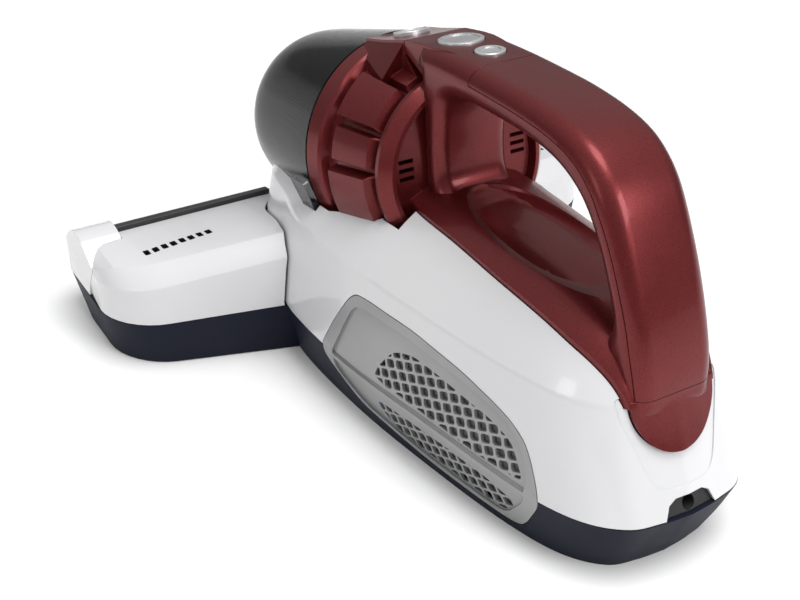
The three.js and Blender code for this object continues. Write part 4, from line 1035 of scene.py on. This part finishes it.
def add_handle():
    """The handle frame, and the grip cover split off it along the seam."""
    whole = cut(join(saddle(), handle_loop()), hull("inner", WALL + 2))
    whole = join(whole, bulkhead())
    cover = bpy.data.objects.new("cover_of_grip", whole.data.copy())
    bpy.context.scene.collection.objects.link(cover)
    cover = keep(cover, cover_space(0))
    cutters = [cover_space(GAP), container_envelope(CONTAINER_GAP)]
    for name, button in BUTTONS.items():
        cutters.append(button_solid("pocket", button, GAP, -8.5, 10))
    whole = cut(whole, *cutters)
    show(whole, "handle_frame", degrees=28)
    show(cover, "grip_cover", degrees=28)


def add_buttons():
    """Two oval buttons, each with a shallow dish in its top."""
    for name, button in BUTTONS.items():
        pillar = button_solid(f"{name}_cap", button, 0, -3.5, 1)
        dish = button_solid("dish", button, -2.2, 0.55, 3)
        show(cut(pillar, dish), name, material=MATERIALS["bright_silver"])


# ------------------------------------------------------------------ dust container
# Raised blocks round the ring: first and last turn in degrees, and the radius at each end.
BLOCKS = [
    (14, 31, 49.5, 44.5), (32.5, 61, 52.0, 46.5), (63, 84, 50.2, 46.0),
    (86, 115, 52.2, 47.4), (117, 145, 51.6, 47.0),
]
TOP_PANEL = [
    (-60.4, 140), (-60.4, 154.4), (-46, 158), (-33, 161.8), (-26.6, 163.7), (-26.6, 157.6), (-16, 150),
    (-16, 140),
]
# Sections under the panel: place along, height of the panel, half width and height at the foot.
NECK = [
    (-59.6, 154.6, 20, 150), (-46, 158, 23, 149), (-33, 161.8, 26, 148), (-27.2, 163.5, 27, 147.5),
]
FLOOR_FRONT = 46.4
FLOOR_REAR = 40.6
BLOCK_START = 17.5
BLOCK_END = 45.5
BEVEL = 1.6


def ring_radius(degrees):
    """Break places and radii along the ring at one turn from its top."""
    turn = abs(degrees)
    lift = 0.0
    tops = (FLOOR_FRONT, FLOOR_REAR)
    for start, end, front, rear in BLOCKS:
        if start <= turn <= end:
            edge = min(turn - start, end - turn)
            lift = min(1.0, edge / 2.0)
            tops = (front, rear)
    front = FLOOR_FRONT + (tops[0] - FLOOR_FRONT) * lift
    rear = FLOOR_REAR + (tops[1] - FLOOR_REAR) * lift
    flange = 10.5 + 2.2 * math.exp(-((turn - 50) / 9) ** 2)
    return [
        (0.4, BOWL_RADIUS - 0.6), (1.2, BOWL_RADIUS), (flange - 1.2, BOWL_RADIUS - 1.4),
        (flange, BOWL_RADIUS - 2.6), (flange + 1.2, FLOOR_FRONT + 0.4), (BLOCK_START - 0.6, FLOOR_FRONT),
        (BLOCK_START + 0.6, FLOOR_FRONT + 0.75 * (front - FLOOR_FRONT)), (BLOCK_START + BEVEL + 0.6, front),
        (BLOCK_END - BEVEL, rear), (BLOCK_END, FLOOR_REAR), (RING_LENGTH, FLOOR_REAR - 0.6),
    ]


def add_cyclone_housing():
    """The ring with raised blocks that carries the bowl, and the panel up to the handle."""
    turns = [0.0]
    for start, end, _, _ in BLOCKS:
        turns += [start, start + 1, start + 2, end - 2, end - 1, end]
        turns += list(np.arange(start + 4, end - 3, 2.5))
    turns += list(np.arange(148, 181, 6))
    turns = sorted(set(turns))
    turns = turns + [360 - t for t in reversed(turns) if 0 < t < 180]
    rings = []
    for degrees in turns:
        shown = degrees if degrees <= 180 else degrees - 360
        outer = [(radius, along) for along, radius in ring_radius(shown)]
        profile = np.array([(0, 0.4), *outer, (0, RING_LENGTH)])
        rings.append(cyclone_point(profile[:, 0], profile[:, 1], math.radians(shown)))
    ring = loft("cyclone_ring", rings, closed=True)
    panel = prism("top_panel", TOP_PANEL, -16, 16, 0)
    # Sloping flanks carry the panel down to the ring.
    sections = []
    for y, top, foot, foot_height in NECK:
        half = [(15.6, y, top - 0.7), (foot, y, foot_height), (foot, y, 138)]
        sections.append(half + [(-x, y, z) for x, y, z in reversed(half)])
    neck = loft("neck", sections)
    inner = turned("inner", [
        (0, -1), (BOWL_RADIUS - 10, -1), (RING_REAR_RADIUS - 5, RING_LENGTH - WALL), (0, RING_LENGTH - WALL)])
    wide = 2 * BOWL_RADIUS
    ahead = turned("ahead", [(0, -BOWL_LENGTH), (wide, -BOWL_LENGTH), (wide, 0.4), (0, 0.4)])
    show(cut(join(ring, neck, panel), inner, ahead), "cyclone_housing", degrees=24)


def add_badge():
    """A plain oval plate with a raised rim, leaning with the top panel."""
    centre = np.array([0, -46.5, 158.6])
    lean = np.array(Matrix.Rotation(0.28, 3, "X"))
    rings = []
    levels = [(-1, 1.0), (0.7, 1.0), (1.0, 0.97), (1.0, 0.86), (0.6, 0.83), (0.75, 0.4), (0.8, 0.05)]
    for height, share in levels:
        flat = np.column_stack([ellipse(9, 6.5, 64) * share, np.full(64, height)])
        rings.append(flat @ lean.T + centre)
    show(loft("oval_badge", rings), "badge_plate", material=MATERIALS["bright_silver"])


def bowl_tree():
    """A tapering bowl: a skin of revolution whose end closes in a smooth superellipse."""
    tree, given, result = new_tree(
        "tapering_bowl", ("Seam Radius", "Front Radius", "Length", "Squareness"))
    link = tree.links.new
    maths = partial(sum_node, tree)
    grid = add_node(tree, "GeometryNodeMeshGrid", {
        "Size X": 1.0, "Size Y": 1.0, "Vertices X": 97, "Vertices Y": 40})
    place = add_node(tree, "GeometryNodeInputPosition")
    parts = add_node(tree, "ShaderNodeSeparateXYZ")
    link(place.outputs["Position"], parts.inputs["Vector"])
    turn = maths("MULTIPLY", parts.outputs["X"], 2 * math.pi)
    back = maths("SUBTRACT", 0.5, parts.outputs["Y"])
    share = maths("SUBTRACT", 1.0, maths("POWER", back, 2.0))
    taper = maths("ADD", given.outputs["Seam Radius"], maths(
        "MULTIPLY", share, maths("SUBTRACT", given.outputs["Front Radius"], given.outputs["Seam Radius"])))
    closing = maths("POWER", maths("MAXIMUM", 0.0, maths("SUBTRACT", 1.0, maths(
        "POWER", share, given.outputs["Squareness"]))), maths("DIVIDE", 1.0, given.outputs["Squareness"]))
    radius = maths("MULTIPLY", taper, closing)
    point = add_node(tree, "ShaderNodeCombineXYZ")
    link(maths("MULTIPLY", radius, maths("SINE", turn)), point.inputs["X"])
    link(maths("MULTIPLY", -1.0, maths("MULTIPLY", share, given.outputs["Length"])), point.inputs["Y"])
    link(maths("MULTIPLY", radius, maths("COSINE", turn)), point.inputs["Z"])
    shaped = add_node(tree, "GeometryNodeSetPosition")
    link(grid.outputs["Mesh"], shaped.inputs["Geometry"])
    link(point.outputs["Vector"], shaped.inputs["Position"])
    merged = add_node(tree, "GeometryNodeMergeByDistance", {"Distance": 0.00002})
    link(shaped.outputs["Geometry"], merged.inputs["Geometry"])
    return finish_tree(tree, given, result, merged.outputs["Geometry"])


def add_bowl():
    """The see-through bowl, given its wall and set on the ring along the tilted axis."""
    bowl = make("smoked_bowl", [(0, 0, 0), (1, 0, 0), (0, 1, 0)], [(0, 1, 2)])
    grow_with(bowl, bowl_tree(), Seam_Radius=BOWL_RADIUS * MM, Front_Radius=(BOWL_FRONT_RADIUS + 0.6) * MM,
              Length=BOWL_LENGTH * MM, Squareness=11.0, Material=MATERIALS["smoke_clear"])
    shape = bmesh.new()
    shape.from_mesh(bowl.data)
    bmesh.ops.dissolve_degenerate(shape, edges=shape.edges, dist=1e-7)
    bmesh.ops.recalc_face_normals(shape, faces=shape.faces)
    if sum(face.normal.z * face.calc_center_median().z for face in shape.faces) < 0:
        bmesh.ops.reverse_faces(shape, faces=shape.faces)
    shape.to_mesh(bowl.data)
    shape.free()
    wall = bowl.modifiers.new("wall", "SOLIDIFY")
    wall.thickness = BOWL_WALL * MM
    wall.offset = -1
    bake(bowl)
    seat = Matrix.Translation(Vector(SEAM_CENTRE * MM)) @ Matrix.Rotation(TILT, 4, "X")
    bowl.data.transform(seat @ Matrix.Translation((0, -0.3 * MM, 0)))
    show(bowl, "dust_bowl", material=MATERIALS["smoked_bowl"])


TAB_TURN = math.radians(106)
TAB = [(-8, -1), (-9, 13), (11, 8), (11, -1), (2, -3)]


def tab_block(grow):
    """The bowl's lock tab; its outline runs down round the bowl and forwards."""
    outline = np.array(TAB, float)
    middle = np.array([0, 6.0])
    away = outline - middle
    lengths = np.linalg.norm(away, axis=1)[:, None]
    outline = soften(middle + away * (lengths + grow) / lengths, 3)
    out = np.array([math.sin(TAB_TURN), 0, math.cos(TAB_TURN)])
    down = np.array([math.cos(TAB_TURN), 0, -math.sin(TAB_TURN)])
    forward = np.array([0, -1, 0])
    tilt = np.array(Matrix.Rotation(TILT, 3, "X"))
    rings = []
    for reach in (BOWL_RADIUS + 0.6 - grow, BOWL_RADIUS + 3.6):
        flat = reach * out + outline[:, :1] * down + outline[:, 1:] * forward
        rings.append(flat @ tilt.T + SEAM_CENTRE)
    return loft("lock_tab", rings)


# ------------------------------------------------------------------ roller and screws
def bristle_tree():
    """Tufts set in helical rows round a roller."""
    tree, given, result = new_tree(
        "bristles", ("Length", "Core Radius", "Tuft Length", "Twist"), ("Rows", "Tufts"), ("Centre",))
    link = tree.links.new
    maths = partial(sum_node, tree)
    grid = add_node(tree, "GeometryNodeMeshGrid", {"Size X": 1.0, "Size Y": 1.0})
    link(given.outputs["Tufts"], grid.inputs["Vertices X"])
    link(given.outputs["Rows"], grid.inputs["Vertices Y"])
    index = add_node(tree, "GeometryNodeInputIndex")
    row = maths("MODULO", index.outputs["Index"], given.outputs["Rows"])
    place = add_node(tree, "GeometryNodeInputPosition")
    parts = add_node(tree, "ShaderNodeSeparateXYZ")
    link(place.outputs["Position"], parts.inputs["Vector"])
    step = maths("DIVIDE", 2 * math.pi, given.outputs["Rows"])
    jitter = add_node(tree, "FunctionNodeRandomValue", {"Seed": 7}, data_type="FLOAT")
    jitter.inputs[2].default_value = -0.07
    jitter.inputs[3].default_value = 0.07
    turn = maths("ADD", maths("MULTIPLY", row, step), maths(
        "ADD", maths("MULTIPLY", parts.outputs["X"], given.outputs["Twist"]), jitter.outputs[1]))
    outward = add_node(tree, "ShaderNodeCombineXYZ")
    link(maths("COSINE", turn), outward.inputs["Y"])
    link(maths("SINE", turn), outward.inputs["Z"])
    along = add_node(tree, "ShaderNodeCombineXYZ")
    link(maths("MULTIPLY", parts.outputs["X"], given.outputs["Length"]), along.inputs["X"])
    ring = add_node(tree, "ShaderNodeVectorMath", operation="SCALE")
    link(outward.outputs["Vector"], ring.inputs[0])
    link(given.outputs["Core Radius"], ring.inputs["Scale"])
    spot = add_node(tree, "ShaderNodeVectorMath", operation="ADD")
    link(ring.outputs["Vector"], spot.inputs[0])
    link(along.outputs["Vector"], spot.inputs[1])
    final = add_node(tree, "ShaderNodeVectorMath", operation="ADD")
    link(spot.outputs["Vector"], final.inputs[0])
    link(given.outputs["Centre"], final.inputs[1])
    # The heading is kept before the points move, as it depends on their first place.
    heading = add_node(
        tree, "GeometryNodeStoreNamedAttribute", {"Name": "heading"}, data_type="FLOAT_VECTOR")
    link(grid.outputs["Mesh"], heading.inputs["Geometry"])
    link(outward.outputs["Vector"], heading.inputs["Value"])
    spots = add_node(tree, "GeometryNodeSetPosition")
    link(heading.outputs["Geometry"], spots.inputs["Geometry"])
    link(final.outputs["Vector"], spots.inputs["Position"])
    kept = add_node(tree, "GeometryNodeInputNamedAttribute", {"Name": "heading"}, data_type="FLOAT_VECTOR")
    facing = add_node(tree, "FunctionNodeAlignRotationToVector", axis="Z")
    link(kept.outputs["Attribute"], facing.inputs["Vector"])
    tuft = add_node(tree, "GeometryNodeMeshCone", {
        "Vertices": 5, "Radius Top": 0.00055, "Radius Bottom": 0.0004, "Depth": 0.005})
    link(given.outputs["Tuft Length"], tuft.inputs["Depth"])
    tufts = add_node(tree, "GeometryNodeInstanceOnPoints")
    link(spots.outputs["Geometry"], tufts.inputs["Points"])
    link(tuft.outputs["Mesh"], tufts.inputs["Instance"])
    link(facing.outputs["Rotation"], tufts.inputs["Rotation"])
    both = add_node(tree, "GeometryNodeJoinGeometry")
    link(given.outputs["Geometry"], both.inputs["Geometry"])
    link(tufts.outputs["Instances"], both.inputs["Geometry"])
    return finish_tree(tree, given, result, both.outputs["Geometry"])


def add_roller():
    """The roller's core with its bristles grown on it."""
    roller_low, roller_high = extent("brush_roller")
    centre = (roller_low + roller_high) / 2
    length = roller_high[0] - roller_low[0]
    core = prism("brush_core", ellipse(12.5, 12.5, 48, centre[1:]), roller_low[0], roller_high[0], 0)
    grow_with(core, bristle_tree(), Length=(length - 3) * MM, Core_Radius=14.9 * MM, Tuft_Length=3.9 * MM,
              Twist=2.1, Rows=6, Tufts=190, Centre=tuple(centre * MM), Material=MATERIALS["brush_bristle"])
    show(core, "brush_roller")


def screw_tree():
    """Round screw heads with a cross recess, one on each point."""
    tree, given, result = new_tree("screw_heads", ("Head Radius", "Head Height", "Recess"))
    link = tree.links.new
    head = add_node(tree, "GeometryNodeMeshCylinder", {"Vertices": 32})
    link(given.outputs["Head Radius"], head.inputs["Radius"])
    link(given.outputs["Head Height"], head.inputs["Depth"])
    bars = []
    for turn in (0, math.pi / 2):
        bar = add_node(tree, "GeometryNodeMeshCube", {"Size": (0.0008, 0.0038, 0.0016)})
        lowered = add_node(tree, "GeometryNodeTransform", {"Rotation": (0, 0, turn)})
        drop = add_node(tree, "ShaderNodeCombineXYZ")
        link(given.outputs["Recess"], drop.inputs["Z"])
        link(bar.outputs["Mesh"], lowered.inputs["Geometry"])
        link(drop.outputs["Vector"], lowered.inputs["Translation"])
        bars.append(lowered.outputs["Geometry"])
    carved = add_node(tree, "GeometryNodeMeshBoolean", operation="DIFFERENCE", solver="EXACT")
    link(head.outputs["Mesh"], carved.inputs["Mesh 1"])
    for bar in bars:
        link(bar, carved.inputs["Mesh 2"])
    heads = add_node(tree, "GeometryNodeInstanceOnPoints")
    link(given.outputs["Geometry"], heads.inputs["Points"])
    link(carved.outputs["Mesh"], heads.inputs["Instance"])
    return finish_tree(tree, given, result, heads.outputs["Instances"])


def add_screws():
    """The four screws of the base as one piece, a head on each place."""
    points = []
    for node in SCREWS:
        screw_low, screw_high = extent(node)
        x, y = (screw_low[:2] + screw_high[:2]) / 2
        points.append((x, y, 1.4))
    mesh = bpy.data.meshes.new("base_screws")
    mesh.from_pydata((np.array(points) * MM).tolist(), [], [])
    heads = bpy.data.objects.new("base_screws", mesh)
    bpy.context.scene.collection.objects.link(heads)
    grow_with(heads, screw_tree(), Head_Radius=3.4 * MM, Head_Height=2.2 * MM, Recess=-1.0 * MM,
              Material=MATERIALS["bright_steel"])
    show(heads, *SCREWS)


# ------------------------------------------------------------------ pieces that keep their frame shape
def add_plain_pieces():
    """Copies of the frame's own shapes for every node that nothing else stands for."""
    for name, node in frame["nodes"].items():
        if name in DONE:
            continue
        piece = bpy.data.objects.new(f"{name}_shown", node.data.copy())
        bpy.context.scene.collection.objects.link(piece)
        show(piece, name)


# ------------------------------------------------------------------ floor and light
def add_stage():
    """A plain pale floor."""
    far = 6000
    floor = make("floor", [(-far, -far, 0), (far, -far, 0), (far, far, 0), (-far, far, 0)], [(0, 1, 2, 3)])
    made, tree, shader, place = new_material("pale_floor", Roughness=0.9, Specular_IOR_Level=0.1)
    tint = blend_colours(tree, noise(tree, place, 3), (0.93, 0.93, 0.93), (0.95, 0.95, 0.95))
    tree.links.new(tint, shader.inputs["Base Color"])
    floor.data.materials.append(made)


def add_light(name, place, aim, size, power):
    """A soft rectangular light aimed at a point."""
    data = bpy.data.lights.new(name, "AREA")
    data.shape = "RECTANGLE"
    data.size, data.size_y = size
    data.energy = power
    lamp = bpy.data.objects.new(name, data)
    lamp.location = place
    lamp.rotation_euler = (Vector(aim) - Vector(place)).to_track_quat("-Z", "Y").to_euler()
    bpy.context.scene.collection.objects.link(lamp)


def add_sun(name, towards, strength, spread_degrees):
    """Even light from far away, soft through its wide angle."""
    data = bpy.data.lights.new(name, "SUN")
    data.energy = strength
    data.angle = math.radians(spread_degrees)
    lamp = bpy.data.objects.new(name, data)
    lamp.rotation_euler = Vector(towards).to_track_quat("-Z", "Y").to_euler()
    bpy.context.scene.collection.objects.link(lamp)


def add_sky():
    """A studio dome, bright overhead and dim round the horizon."""
    world = bpy.data.worlds.new("studio")
    bpy.context.scene.world = world
    world.use_nodes = True
    tree = world.node_tree
    place = add_node(tree, "ShaderNodeTexCoord")
    parts = add_node(tree, "ShaderNodeSeparateXYZ")
    tree.links.new(place.outputs["Generated"], parts.inputs["Vector"])
    shade = spread(tree, parts.outputs["Z"], 0.10, 1.0, 0.0, 0.9)
    tree.links.new(shade, tree.nodes["Background"].inputs["Color"])
    tree.nodes["Background"].inputs["Strength"].default_value = 0.85


def add_lights():
    """Sky, overhead glow and two weak softboxes, shown without a film curve."""
    add_sky()
    target = (0, 0, 0.06)
    add_sun("overhead_glow", (0.12, -0.16, -1), 1.5, 30)
    add_light("rear_softbox", (-0.35, 1.0, 0.75), target, (0.5, 0.35), 5)
    add_light("left_softbox", (1.2, 0.2, 0.6), target, (0.3, 0.4), 1)
    bpy.context.scene.view_settings.view_transform = "Standard"


MATERIALS = build_materials()
DONE = set()
add_camera()
add_nozzle_cover()
add_bumper()
add_base()
add_body_shell()
add_cord_inlet()
add_grilles()
add_handle()
add_buttons()
add_cyclone_housing()
add_badge()
add_bowl()
show(tab_block(0), "bowl_tab")
add_roller()
add_screws()
add_plain_pieces()
add_stage()
add_lights()
